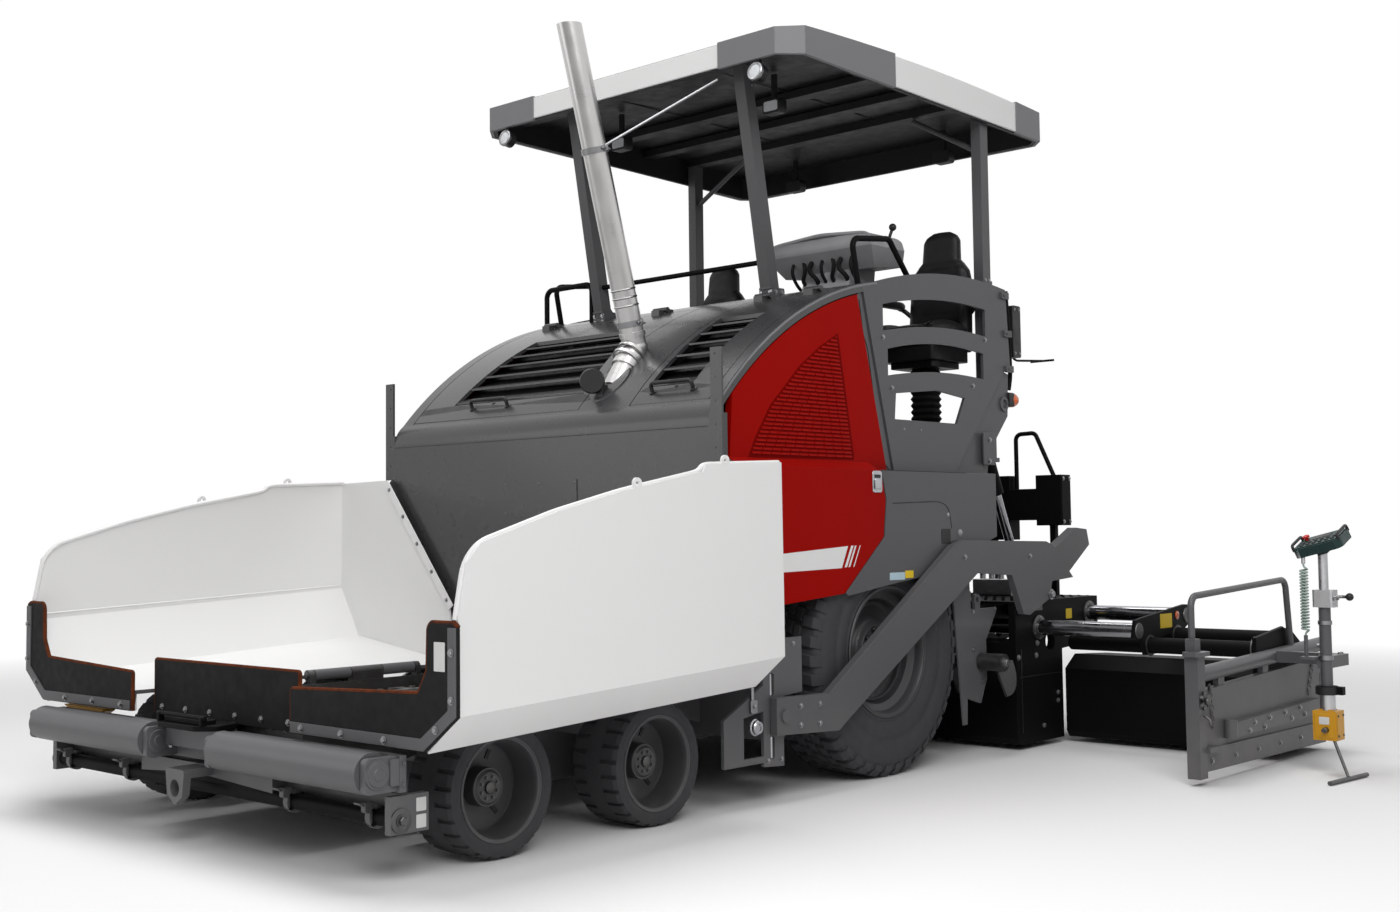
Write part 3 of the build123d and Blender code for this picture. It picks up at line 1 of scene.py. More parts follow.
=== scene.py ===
"""Looks of the wheeled asphalt paver: finishes, tread, bolts, lamps, seats, cord and trim on its frame.

Metres, +Z up, the machine's front towards -Y, its left side at +X. Pieces are drawn in the frame of the rear
axle, as in the CAD source, and AXLE_Y moves them to the row frame.
"""
import math

import bmesh
import bpy
from mathutils import Matrix, Vector
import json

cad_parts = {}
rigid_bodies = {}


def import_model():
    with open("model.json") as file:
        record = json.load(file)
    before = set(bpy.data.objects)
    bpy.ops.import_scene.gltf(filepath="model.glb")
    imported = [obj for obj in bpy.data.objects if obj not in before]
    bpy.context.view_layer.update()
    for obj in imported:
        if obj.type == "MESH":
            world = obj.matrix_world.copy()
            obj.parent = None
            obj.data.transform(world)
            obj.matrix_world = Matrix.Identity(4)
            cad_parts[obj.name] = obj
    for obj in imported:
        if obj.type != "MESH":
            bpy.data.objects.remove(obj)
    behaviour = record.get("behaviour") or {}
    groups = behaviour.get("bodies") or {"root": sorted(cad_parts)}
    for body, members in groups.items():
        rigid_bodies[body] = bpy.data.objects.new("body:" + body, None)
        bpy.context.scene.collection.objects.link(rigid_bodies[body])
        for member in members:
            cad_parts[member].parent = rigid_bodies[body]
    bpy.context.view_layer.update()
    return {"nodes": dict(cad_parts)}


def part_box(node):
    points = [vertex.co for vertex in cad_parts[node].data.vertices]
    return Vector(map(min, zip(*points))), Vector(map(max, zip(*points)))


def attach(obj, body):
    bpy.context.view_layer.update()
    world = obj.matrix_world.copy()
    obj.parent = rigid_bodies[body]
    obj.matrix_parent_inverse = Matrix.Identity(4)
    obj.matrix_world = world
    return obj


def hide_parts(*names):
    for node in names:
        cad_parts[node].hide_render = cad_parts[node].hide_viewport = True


bpy.ops.object.select_all(action="SELECT")
bpy.ops.object.delete()
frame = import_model()

SIDES = (("left", 1), ("right", -1))
OUT, IN, AHEAD, BACK, UP, DOWN = (1, 0, 0), (-1, 0, 0), (0, -1, 0), (0, 1, 0), (0, 0, 1), (0, 0, -1)
AXLE_Y = sum(corner.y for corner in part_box("rear_tyre_left")) / 2


def at(x, y, z):
    """A point given from the rear axle, in the row frame."""
    return Vector((x, y + AXLE_Y, z))


def span(node):
    """Lowest and highest corner of a CAD node, from the rear axle."""
    low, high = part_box(node)
    return low - Vector((0, AXLE_Y, 0)), high - Vector((0, AXLE_Y, 0))


# ---------------------------------------------------------------- materials
class Finish:
    """A node material whose colour varies with noise, with fine bump and, if asked, dust in low places."""

    def __init__(self, name, colour, roughness=0.5, metallic=0.0):
        self.material = bpy.data.materials.new(name)
        self.material.use_nodes = True
        self.tree = self.material.node_tree
        self.shader = self.tree.nodes["Principled BSDF"]
        self.shader.inputs["Base Color"].default_value = (*colour, 1)
        self.shader.inputs["Roughness"].default_value = roughness
        self.shader.inputs["Metallic"].default_value = metallic
        self.current = (*colour, 1)
        self.roughness = roughness
        self.place = self.tree.nodes.new("ShaderNodeTexCoord").outputs["Object"]

    def link(self, out, into):
        """Joins an output to an input."""
        self.tree.links.new(out, into)

    def node(self, kind, **inputs):
        """A new node with its inputs set."""
        made = self.tree.nodes.new(kind)
        for key, value in inputs.items():
            made.inputs[key.replace("_", " ")].default_value = value
        return made

    def noise(self, scale, detail=4.0, stretch=(1, 1, 1)):
        """Noise in the object's own place, as a value about 0.5."""
        mapping = self.node("ShaderNodeMapping")
        mapping.inputs["Scale"].default_value = stretch
        self.link(self.place, mapping.inputs["Vector"])
        texture = self.node("ShaderNodeTexNoise", Scale=scale, Detail=detail)
        self.link(mapping.outputs["Vector"], texture.inputs["Vector"])
        return texture.outputs["Fac"]

    def spread(self, value, low, high, new_low=0.0, new_high=1.0):
        """The value stretched from low..high to new_low..new_high."""
        made = self.node("ShaderNodeMapRange")
        for key, number in (("From Min", low), ("From Max", high), ("To Min", new_low), ("To Max", new_high)):
            made.inputs[key].default_value = number
        self.link(value, made.inputs["Value"])
        return made.outputs["Result"]

    def times(self, first, second):
        """Product of two values."""
        made = self.node("ShaderNodeMath")
        made.operation = "MULTIPLY"
        self.link(first, made.inputs[0])
        self.link(second, made.inputs[1])
        return made.outputs["Value"]

    def turn_to(self, colour, share):
        """The colour so far, mixed towards another by the share."""
        made = self.tree.nodes.new("ShaderNodeMix")
        made.data_type = "RGBA"
        self.link(share, made.inputs["Factor"])
        if isinstance(self.current, bpy.types.NodeSocket):
            self.link(self.current, made.inputs["A"])
        else:
            made.inputs["A"].default_value = self.current
        made.inputs["B"].default_value = (*colour, 1)
        self.current = made.outputs["Result"]
        self.link(self.current, self.shader.inputs["Base Color"])
        return self

    def cloud(self, other, scale=3.0, amount=0.5, stretch=(1, 1, 1)):
        """Colour drifts towards the other colour in soft clouds."""
        return self.turn_to(other, self.spread(self.noise(scale, 5.0, stretch), 0.35, 0.7, 0.0, amount))

    def dust(self, colour, low, high, amount):
        """Dust that thins out upwards, from height low to height high."""
        split = self.node("ShaderNodeSeparateXYZ")
        self.link(self.place, split.inputs["Vector"])
        height = self.spread(split.outputs["Z"], low, high, amount, 0.0)
        return self.turn_to(colour, self.times(height, self.spread(self.noise(9.0, 8.0), 0.3, 0.65)))

    def wear(self, colour, amount=0.5, radius=0.004):
        """Edges partly rubbed and partly a painted highlight: where a rounded normal departs from the
        surface's own, in patches.
        """
        bevel = self.node("ShaderNodeBevel", Radius=radius)
        bevel.samples = 4
        dot = self.node("ShaderNodeVectorMath")
        dot.operation = "DOT_PRODUCT"
        self.link(bevel.outputs["Normal"], dot.inputs[0])
        self.link(self.tree.nodes.new("ShaderNodeNewGeometry").outputs["Normal"], dot.inputs[1])
        edge = self.spread(dot.outputs["Value"], 0.99, 0.9)
        patches = self.spread(self.noise(14.0, 6.0), 0.4, 0.62, 0.1, amount)
        return self.turn_to(colour, self.times(edge, patches))

    def uneven(self, scale=12.0, amount=0.15):
        """Roughness that varies over the surface."""
        low, high = max(0.02, self.roughness - amount), min(1.0, self.roughness + amount)
        self.link(self.spread(self.noise(scale), 0.3, 0.7, low, high), self.shader.inputs["Roughness"])
        return self

    def bump(self, scale, distance, strength=0.5, detail=3.0, stretch=(1, 1, 1)):
        """Fine relief from noise."""
        made = self.node("ShaderNodeBump", Strength=strength, Distance=distance)
        self.link(self.noise(scale, detail, stretch), made.inputs["Height"])
        self.link(made.outputs["Normal"], self.shader.inputs["Normal"])
        return self

    def dull(self, level):
        """Weaker mirror reflection, 0.5 being the usual one."""
        self.shader.inputs["Specular IOR Level"].default_value = level
        return self

    def coat(self, weight, roughness=0.08):
        """A clear coat over the finish."""
        self.shader.inputs["Coat Weight"].default_value = weight
        self.shader.inputs["Coat Roughness"].default_value = roughness
        return self


def paint(name, colour, other, roughness=0.35, wear_and_highlight=None, dust_top=0.0, gloss=0.08, mirror=0.35):
    """Sprayed paint, its edges partly rubbed and partly given a painted highlight, dusty up to a height."""
    finish = Finish(name, colour, roughness).cloud(other, 1.5, 0.4).uneven(14.0, 0.012)
    finish.bump(900, 0.0002, 0.15).dull(mirror)
    if wear_and_highlight:
        finish.wear(wear_and_highlight)
    if dust_top:
        finish.dust((0.22, 0.2, 0.175), 0.0, dust_top, 0.25)
    return finish.coat(gloss, 0.12).material


def metal(name, colour, other, roughness, scale=40.0):
    """Bare metal with a fine grain."""
    finish = Finish(name, colour, roughness, 1.0).cloud(other, scale / 8, 0.6).uneven(scale, 0.1)
    return finish.bump(scale * 12, 0.0003, 0.3).material


def plastic(name, colour, roughness=0.5, grain=700):
    """Moulded plastic with a fine grain."""
    other = tuple(c * 1.25 + 0.004 for c in colour)
    finish = Finish(name, colour, roughness).cloud(other, 6.0, 0.6).uneven(10, 0.1).bump(grain, 0.0004, 0.35)
    return finish.dull(0.3).material


# Each paint's fourth colour goes on its edges: partly rubbed wear, partly a painted highlight.
WHITE_PAINT = paint("white_paint", (0.82, 0.818, 0.812), (0.8, 0.797, 0.79), 0.38, (0.66, 0.65, 0.62))
HOOD_PAINT = paint("hood_paint", (0.046, 0.0457, 0.048), (0.041, 0.0407, 0.043), 0.28, (0.07, 0.07, 0.074),
                   gloss=0.18, mirror=0.4)
BODY_PAINT = paint("body_paint", (0.082, 0.0815, 0.087), (0.074, 0.0735, 0.078), 0.42, (0.12, 0.12, 0.125))
RED_PAINT = paint("red_paint", (0.33, 0.0022, 0.0004), (0.29, 0.0016, 0.0003), 0.45, (0.38, 0.012, 0.003),
                  gloss=0.0, mirror=0.05)
# Darker red laid under the door louvres as painted shade between the slats.
LOUVRE_PAINTED_SHADE = paint("red_painted_shade", (0.17, 0.001, 0.0003), (0.14, 0.001, 0.0003), 0.6, gloss=0.0, mirror=0.04)
FRAME_PAINT = paint("frame_paint", (0.105, 0.105, 0.111), (0.09, 0.09, 0.095), 0.5, (0.13, 0.13, 0.135), 0.4)
ARM_PAINT = paint("arm_paint", (0.095, 0.095, 0.1), (0.083, 0.083, 0.088), 0.45, (0.14, 0.14, 0.145), 0.5)
RIM_PAINT = paint("rim_paint", (0.062, 0.062, 0.066), (0.05, 0.05, 0.053), 0.45, (0.15, 0.15, 0.155), 0.3)
STRIP_GREY = paint("strip_grey", (0.095, 0.095, 0.1), (0.08, 0.08, 0.084), 0.48, (0.18, 0.18, 0.185))
BLACK_PAINT = paint("black_paint", (0.004, 0.004, 0.0045), (0.0065, 0.0065, 0.0065), 0.55,
                    (0.015, 0.015, 0.015), gloss=0.0, mirror=0.07)
CAP_GREY = paint("cap_grey", (0.175, 0.175, 0.182), (0.16, 0.16, 0.166), 0.45, (0.17, 0.17, 0.175))
POST_GREY = paint("post_grey", (0.085, 0.085, 0.089), (0.074, 0.074, 0.078), 0.48, (0.13, 0.13, 0.135))
YELLOW = paint("yellow_paint", (0.62, 0.3, 0.008), (0.52, 0.24, 0.006), 0.4, (0.3, 0.16, 0.02))
RED_BUTTON = paint("red_button", (0.55, 0.01, 0.008), (0.48, 0.008, 0.006), 0.35)
CANOPY_BLACK = plastic("canopy_black", (0.013, 0.013, 0.0145), 0.45)
BLACK_PLASTIC = plastic("black_plastic", (0.014, 0.014, 0.015), 0.42)
DARK_GREEN = plastic("panel_green", (0.008, 0.03, 0.028), 0.4)
CONSOLE_GREY = plastic("console_grey", (0.33, 0.33, 0.34), 0.5)
LABEL = plastic("blank_label", (0.62, 0.62, 0.61), 0.55)
LABEL_BLUE = plastic("blank_label_blue", (0.42, 0.55, 0.62), 0.5)
LABEL_YELLOW = plastic("blank_label_yellow", (0.72, 0.5, 0.02), 0.5)
AMBER = (Finish("amber_lens", (0.75, 0.12, 0.008), 0.15).cloud((0.6, 0.08, 0.004), 30, 0.5).uneven(40, 0.05)
         .bump(160, 0.001, 0.6).coat(0.6, 0.05).material)
LENS = (Finish("clear_lens", (0.72, 0.74, 0.76), 0.08).cloud((0.55, 0.57, 0.6), 40, 0.5).uneven(30, 0.04)
        .bump(90, 0.001, 0.5).coat(0.8, 0.03).material)
SCREEN = (Finish("screen", (0.3, 0.33, 0.34), 0.12).cloud((0.22, 0.25, 0.26), 8, 0.4).uneven(12, 0.04)
          .bump(200, 0.0001, 0.1).coat(0.5, 0.05).material)
# Rubber edges turn lighter: partly scuffing, partly a painted highlight.
RUBBER = (Finish("rubber", (0.0085, 0.0085, 0.009), 0.7).cloud((0.012, 0.0118, 0.0115), 4, 0.6)
          .wear((0.03, 0.029, 0.028), 0.4).uneven(20, 0.08).bump(350, 0.0005, 0.25).dull(0.15).material)
RUBBER_PLY = (Finish("rubber_ply", (0.13, 0.03, 0.008), 0.8).cloud((0.05, 0.016, 0.008), 30, 0.9)
              .uneven(50, 0.1).bump(500, 0.0005, 0.5).dull(0.1).material)
TYRE = (Finish("tyre", (0.052, 0.052, 0.057), 0.72).cloud((0.045, 0.0445, 0.046), 6, 0.5)
        .dust((0.075, 0.071, 0.066), 0.0, 0.25, 0.3).uneven(20, 0.08).bump(220, 0.0006, 0.25).dull(0.22)
        .material)
WORN_STEEL = metal("worn_steel", (0.3, 0.29, 0.28), (0.2, 0.18, 0.16), 0.42)
DARK_STEEL = metal("dark_steel", (0.12, 0.12, 0.12), (0.08, 0.075, 0.07), 0.45)
ZINC = metal("zinc_steel", (0.3, 0.3, 0.31), (0.22, 0.22, 0.22), 0.38)
CHROME = metal("chrome", (0.42, 0.42, 0.44), (0.36, 0.36, 0.38), 0.18, 30)
STAINLESS = (Finish("stainless", (0.56, 0.555, 0.55), 0.3, 1.0)
             .cloud((0.48, 0.47, 0.455), 1.5, 0.4, (1, 1, 3)).uneven(6, 0.05)
             .bump(120, 0.0002, 0.2, 3, (1, 1, 8)).material)
ALUMINIUM = metal("aluminium", (0.55, 0.55, 0.56), (0.46, 0.46, 0.47), 0.38)
IRON = metal("cast_iron", (0.1, 0.1, 0.1), (0.07, 0.06, 0.06), 0.6)
VINYL = (Finish("vinyl", (0.011, 0.011, 0.012), 0.5).cloud((0.016, 0.016, 0.018), 8, 0.5).uneven(20, 0.08)
         .bump(420, 0.0008, 0.4).dull(0.25).material)
PIPING = plastic("seat_piping", (0.03, 0.03, 0.032), 0.55)
CORD_JACKET = plastic("cord_jacket", (0.32, 0.4, 0.36), 0.45, 300)

NODE_FINISH = {
    "chassis_frame": FRAME_PAINT, "engine_block": IRON, "hopper_floor": DARK_STEEL, "conveyor": WORN_STEEL,
    "centre_flap": RUBBER, "front_beam": ARM_PAINT, "push_beam": FRAME_PAINT, "push_roller": ARM_PAINT,
    "axles": FRAME_PAINT, "knuckle": FRAME_PAINT, "front_rim": RIM_PAINT, "rear_rim": RIM_PAINT,
    "front_tyre": TYRE, "rear_tyre": TYRE, "hood": HOOD_PAINT, "engine_lid": HOOD_PAINT,
    "service_door": RED_PAINT, "side_bodies": BODY_PAINT, "platform": BODY_PAINT, "handrails": BLACK_PAINT,
    "console": CONSOLE_GREY, "seats": VINYL, "canopy_roof": CANOPY_BLACK, "canopy_trim": CAP_GREY,
    "canopy_posts": POST_GREY, "exhaust": STAINLESS, "auger_carrier": FRAME_PAINT, "auger": DARK_STEEL,
    "tow_arms": ARM_PAINT, "screed_main": BLACK_PAINT, "lift_barrels": BLACK_PAINT, "lift_rods": CHROME,
    "extension_stage": CHROME, "screed_extension": BLACK_PAINT, "end_gate": ARM_PAINT,
    "levelling_gear": ALUMINIUM, "hopper_wing": WHITE_PAINT, "wing_flap": RUBBER, "panel_cord": CORD_JACKET,
}
# nodes whose edges stay as they are
SHARP = ("front_tyre", "rear_tyre", "auger", "handrails", "seats", "panel_cord")
FAR = 9.0  # beyond the machine on every side


def finish_of(node):
    """Material of a CAD node: the longest name in the table that the node's name starts with."""
    return NODE_FINISH[max((key for key in NODE_FINISH if node.startswith(key)), key=len)]


def dress_cad():
    """Gives each CAD node its material and a small round on its edges."""
    for name, node in frame["nodes"].items():
        node.data.materials.clear()
        node.data.materials.append(finish_of(name))
        if name.startswith(SHARP):
            continue
        weld = node.modifiers.new("weld", "WELD")
        weld.merge_threshold = 0.00002
        bevel = node.modifiers.new("bevel", "BEVEL")
        bevel.width, bevel.segments = 0.003, 2
        bevel.limit_method, bevel.angle_limit = "ANGLE", math.radians(40)
        normals = node.modifiers.new("normals", "WEIGHTED_NORMAL")
        normals.keep_sharp = True


def tint(node, finish, x=(-FAR, FAR), y=(-FAR, FAR), z=(-FAR, FAR), facing=None):
    """Another finish on the faces of a CAD node whose middles lie in a box given from the rear axle."""
    data = frame["nodes"][node].data
    data.materials.append(finish)
    low, high = at(x[0], y[0], z[0]), at(x[1], y[1], z[1])
    for face in data.polygons:
        inside = all(a <= c <= b for a, c, b in zip(low, face.center, high))
        if inside and (facing is None or face.normal.dot(Vector(facing)) > 0.5):
            face.material_index = len(data.materials) - 1


def tint_nodes():
    """Second finishes of the CAD nodes that carry several."""
    tint("canopy_trim", WHITE_PAINT, x=(-0.7199, 0.7199))
    for low, high in ((-FAR, -0.8), (0.8, FAR)):
        tint("canopy_trim", WHITE_PAINT, x=(low, high), y=(0.1901, 1.4499))
    tint("canopy_roof", CAP_GREY, z=(3.8, FAR), facing=UP)
    for lid in ("engine_lid_left", "engine_lid_right"):
        tint(lid, BLACK_PLASTIC, y=(-1.268, -1.212), z=(hood_z(-1.23) - 0.005, FAR))
    tint("hood", BLACK_PLASTIC, x=(0.225, 0.4), y=(-1.33, -1.15), z=(1.975, 2.2))
    tint("front_beam", BLACK_PAINT, x=(-1.289, 1.289), y=(-3.273, -3.207), z=(0.2075, 0.2725))
    for side, sign in SIDES:
        node = f"levelling_gear_{side}"
        tint(node, BLACK_PAINT, z=(0.4, 0.462))
        tint(node, YELLOW, z=(0.1795, 0.3305))
        tint(node, ARM_PAINT, z=(0.5, 0.75))
        tint(node, DARK_GREEN, z=(1.13, 1.3))
        tint(node, DARK_STEEL, z=(-FAR, 0.179))
        tint(node, BLACK_PLASTIC, x=sorted((sign * 3.05, sign * 3.2)), z=(0.89, 0.94))
        tint(f"hopper_wing_{side}", STRIP_GREY, x=sorted((sign * 0.56, sign * 0.6399)), z=(0.56, 0.635))
        tint(f"extension_stage_{side}", BLACK_PAINT, x=sorted((sign * 1.892, sign * 1.9135)))


# ---------------------------------------------------------------- building shapes
def eased(points, radius, closed=True, count=4):
    """The points with each corner replaced by a small curve."""
    spots = [Vector(p) for p in points]
    out = []
    for i, here in enumerate(spots):
        if not closed and i in (0, len(spots) - 1):
            out.append(here)
            continue
        before, after = spots[i - 1] - here, spots[(i + 1) % len(spots)] - here
        start = here + before.normalized() * min(radius, before.length * 0.45)
        end = here + after.normalized() * min(radius, after.length * 0.45)
        for k in range(count + 1):
            t = k / count
            out.append(start * (1 - t) ** 2 + here * 2 * t * (1 - t) + end * t * t)
    return out


def circle_through(a, b, c):
    """Middle and radius of the circle through three points of a plane."""
    d = 2 * (a[0] * (b[1] - c[1]) + b[0] * (c[1] - a[1]) + c[0] * (a[1] - b[1]))
    sq = [p[0] ** 2 + p[1] ** 2 for p in (a, b, c)]
    u = (sq[0] * (b[1] - c[1]) + sq[1] * (c[1] - a[1]) + sq[2] * (a[1] - b[1])) / d
    v = (sq[0] * (c[0] - b[0]) + sq[1] * (a[0] - c[0]) + sq[2] * (b[0] - a[0])) / d
    return (u, v), math.hypot(a[0] - u, a[1] - v)


CREST_MIDDLE, CREST_R = circle_through((-1.3, 1.905), (-0.76, 2.345), (0.02, 2.613))


def hood_z(y, depth=0.0):
    """Height of the hood's curved top, or of a surface so far below it."""
    return CREST_MIDDLE[1] + math.sqrt((CREST_R - depth) ** 2 - (y - CREST_MIDDLE[0]) ** 2)


def turns(count, start=0.0):
    """Angles of so many points round a circle."""
    return [start + 2 * math.pi * k / count for k in range(count)]


def collar(low, high, inner, outer):
    """Profile of a square ring, for Shape.hoop."""
    return [(low, inner), (low, outer), (high, outer), (high, inner)]


def between(table, value):
    """Second number of a rising table of pairs, read between its rows at a value of the first."""
    below = [pair for pair in table if pair[0] <= value][-1]
    above = [pair for pair in table if pair[0] > value][0]
    return below[1] + (above[1] - below[1]) * (value - below[0]) / (above[0] - below[0])


def squarish(angle, power):
    """Point of a rounded square of half size 1, at an angle."""
    c, s = math.cos(angle), math.sin(angle)
    size = (abs(c) ** power + abs(s) ** power) ** (-1 / power)
    return size * c, size * s


def steps(low, high, count):
    """Evenly spaced numbers from low to high."""
    return [low + (high - low) * i / (count - 1) for i in range(count)]


class Shape:
    """Closed forms gathered into one mesh, from the rear axle; turn places them, sign -1 mirrors them."""

    def __init__(self, sign=1, turn=None):
        self.mesh = bmesh.new()
        self.sign = sign
        self.turn = turn or Matrix.Identity(4)

    def loft(self, rings, closed=False):
        """Skin over rings of equally many points; its ends are capped unless the rings come full circle."""
        rows = []
        for ring in rings:
            spots = [self.turn @ Vector(p) for p in ring]
            rows.append([self.mesh.verts.new(at(p.x * self.sign, p.y, p.z)) for p in spots])
        for low, high in zip(rows, rows[1:] + rows[:1] if closed else rows[1:]):
            for k in range(len(low)):
                m = (k + 1) % len(low)
                self.mesh.faces.new((low[k], low[m], high[m], high[k]))
        if not closed:
            self.mesh.faces.new(rows[0][::-1])
            self.mesh.faces.new(rows[-1])
        return self

    def prism(self, outline, axis, low, high):
        """Outline across an axis, as (y, z), (x, z) or (x, y), between its two ends along it."""
        order = {"x": (2, 0, 1), "y": (0, 2, 1), "z": (0, 1, 2)}[axis]
        return self.loft([[[(a, b, end)[i] for i in order] for a, b in outline] for end in (low, high)])

    def box(self, x, y, z):
        """A plain box from its three spans."""
        return self.prism([(x[0], y[0]), (x[1], y[0]), (x[1], y[1]), (x[0], y[1])], "z", *z)

    def slab(self, x, y, z, axis, corner):
        """A box whose corners across the axis are rounded."""
        spans = {"x": x, "y": y, "z": z}
        ends = spans.pop(axis)
        (a, b), (c, d) = spans.values()
        return self.prism(eased([(a, c), (b, c), (b, d), (a, d)], corner), axis, *ends)

    def tube(self, points, radius, sides=12, closed=False):
        """A round bar through the points."""
        spots = [Vector(p) for p in points]
        normal, rings = None, []
        for i, here in enumerate(spots):
            ahead = spots[(i + 1) % len(spots)] if closed or i < len(spots) - 1 else here
            behind = spots[i - 1] if closed or i else here
            run = (ahead - behind).normalized()
            normal = run.orthogonal() if normal is None else normal
            normal = (normal - run * normal.dot(run)).normalized()
            other = run.cross(normal)
            rings.append([here + (normal * math.cos(a) + other * math.sin(a)) * radius for a in turns(sides)])
        return self.loft(rings, closed)

    def spun(self, profile, place, direction, sides=24):
        """A turned piece: profile of (along, radius) from its foot, about a direction."""
        run = Vector(direction).normalized()
        side = run.orthogonal().normalized()
        other = run.cross(side)
        outs = [side * math.cos(a) + other * math.sin(a) for a in turns(sides)]
        rings = [[Vector(place) + run * along + out * radius for out in outs] for along, radius in profile]
        return self.loft(rings)

    def hoop(self, profile, place, direction, sides=32):
        """A ring: a closed profile of (along, radius) turned about a direction."""
        run = Vector(direction).normalized()
        side = run.orthogonal().normalized()
        other = run.cross(side)
        outs = [side * math.cos(a) + other * math.sin(a) for a in turns(sides)]
        rings = [[Vector(place) + run * along + out * radius for along, radius in profile] for out in outs]
        return self.loft(rings, closed=True)

    def bolt(self, place, direction, radius=0.01):
        """A hexagonal head on its washer."""
        self.spun([(0, radius * 1.45), (radius * 0.25, radius * 1.45)], place, direction, 16)
        return self.spun([(radius * 0.2, radius), (radius * 0.8, radius), (radius * 0.95, radius * 0.85)],
                         place, direction, 6)

    def bolts(self, places, direction, radius=0.01):
        """Heads of one size at several places."""
        for place in places:
            self.bolt(place, direction, radius)
        return self

    def lozenge(self, place, foot, top, rise):
        """One raised mark of tread plate, from the half sizes of its foot and of its top."""
        x, y, z = place
        return self.loft([[(x - a, y - b, h), (x + a, y - b, h), (x + a, y + b, h), (x - a, y + b, h)]
                          for (a, b), h in ((foot, z), (top, z + rise))])

    def ball(self, place, radius, sides=20):
        """A ball, turned about the upright."""
        arc = [math.pi * (k + 0.5) / 10 for k in range(10)]
        return self.spun([(-radius * math.cos(a), radius * math.sin(a)) for a in arc], place, UP, sides)


def piece(shape, name, body, finish, smooth=38, round_edges=0.0):
    """Turns a shape into an object that rides on a body."""
    bmesh.ops.recalc_face_normals(shape.mesh, faces=shape.mesh.faces)
    data = bpy.data.meshes.new(name)
    shape.mesh.to_mesh(data)
    shape.mesh.free()
    data.polygons.foreach_set("use_smooth", [True] * len(data.polygons))
    data.set_sharp_from_angle(angle=math.radians(smooth))
    data.materials.append(finish)
    made = bpy.data.objects.new(name, data)
    bpy.context.scene.collection.objects.link(made)
    if round_edges:
        bevel = made.modifiers.new("bevel", "BEVEL")
        bevel.width, bevel.segments = round_edges, 2
        bevel.limit_method, bevel.angle_limit = "ANGLE", math.radians(40)
    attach(made, body)
    return made


# ---------------------------------------------------------------- hopper
FLAP_FRONT = span("wing_flap_left")[0].y
FLAP_BACK = span("wing_flap_left")[1].y
WING_OUT = span("hopper_wing_left")[1].x
WING_BACK_WALL = span("hopper_wing_left")[1].y - 0.012
FLAP_RIM = ((0.634, 0.509), (0.634, 0.684), (1.449, 0.714), (1.499, 0.8), (1.504, 0.954), (1.52, 0.974),
            (1.655, 0.974), (1.671, 0.96))
RIM_LINE = ((-3.238, 0.984), (-3.198, 1.19), (-3.13, 1.262), (-2.752, 1.374), (-2.391, 1.458),
            (-1.93, 1.542), (-1.903, 1.573), (-1.397, 1.593))


def wing_trim(side, sign):
    """Steel strip, bolts and bead of each front flap, and the wing's rolled rim."""
    strip = ((0.64, 0.512), (1.486, 0.509), (1.67, 0.642), (1.67, 0.958), (1.628, 0.958), (1.628, 0.664),
             (1.472, 0.553), (0.64, 0.555))
    body = f"hopper_wing_{side}"
    steel = Shape(sign).prism(strip, "y", FLAP_FRONT - 0.006, FLAP_FRONT + 0.001)
    piece(steel, f"flap_strip_{side}", body, STRIP_GREY, round_edges=0.001)
    spots = ((1.649, 0.87), (1.65, 0.7), (1.56, 0.59), (1.256, 0.531), (0.985, 0.533), (0.718, 0.534))
    heads = Shape(sign).bolts([(x, FLAP_FRONT - 0.006, z) for x, z in spots], AHEAD, 0.011)
    piece(heads, f"flap_bolts_{side}", body, ZINC)
    middle = (FLAP_FRONT + FLAP_BACK) / 2
    bead = Shape(sign).tube(eased([(x, middle, z) for x, z in FLAP_RIM], 0.012, False), 0.0095, 8)
    piece(bead, f"flap_ply_{side}", body, RUBBER_PLY)
    rim = Shape(sign).tube(eased([(WING_OUT - 0.02, y, z) for y, z in RIM_LINE], 0.05, False), 0.011, 12)
    piece(rim, f"wing_rim_{side}", body, WHITE_PAINT)


def wing_plates(side, sign):
    """Corner strip with its bolts, and weld seams, of each wing."""
    body = f"hopper_wing_{side}"
    low, high = Vector((0.641, 0, 0.892)), Vector((1.218, 0, 1.584))
    across = (high - low).normalized().cross(Vector(BACK)) * 0.0225
    plate = [(p.x, p.z) for p in (low - across, high - across, high + across, low + across)]
    corner = Shape(sign).prism(plate, "y", WING_BACK_WALL - 0.006, WING_BACK_WALL + 0.001)
    piece(corner, f"wing_corner_{side}", body, WHITE_PAINT, round_edges=0.001)
    spots = [low.lerp(high, t) for t in (0.06, 0.28, 0.5, 0.72, 0.94)]
    heads = Shape(sign).bolts([(p.x, WING_BACK_WALL - 0.006, p.z) for p in spots], AHEAD, 0.008)
    piece(heads, f"wing_corner_bolts_{side}", body, ZINC)
    seam = Shape(sign)
    for y in (-2.63, -2.02):
        seam.tube([(0.66, y, 0.603), (1.478, y, 0.663)], 0.004, 6)
    seam.tube([(WING_OUT - 0.018, -3.2, 0.915), (WING_OUT - 0.018, -1.42, 0.998)], 0.005, 6)
    piece(seam, f"wing_seams_{side}", body, WHITE_PAINT)


def flap_label():
    """Blank label on the left flap."""
    label = Shape().slab((1.545, 1.607), (FLAP_FRONT - 0.001, FLAP_FRONT), (0.8, 0.905), "y", 0.004)
    piece(label, "flap_label", "hopper_wing_left", LABEL)


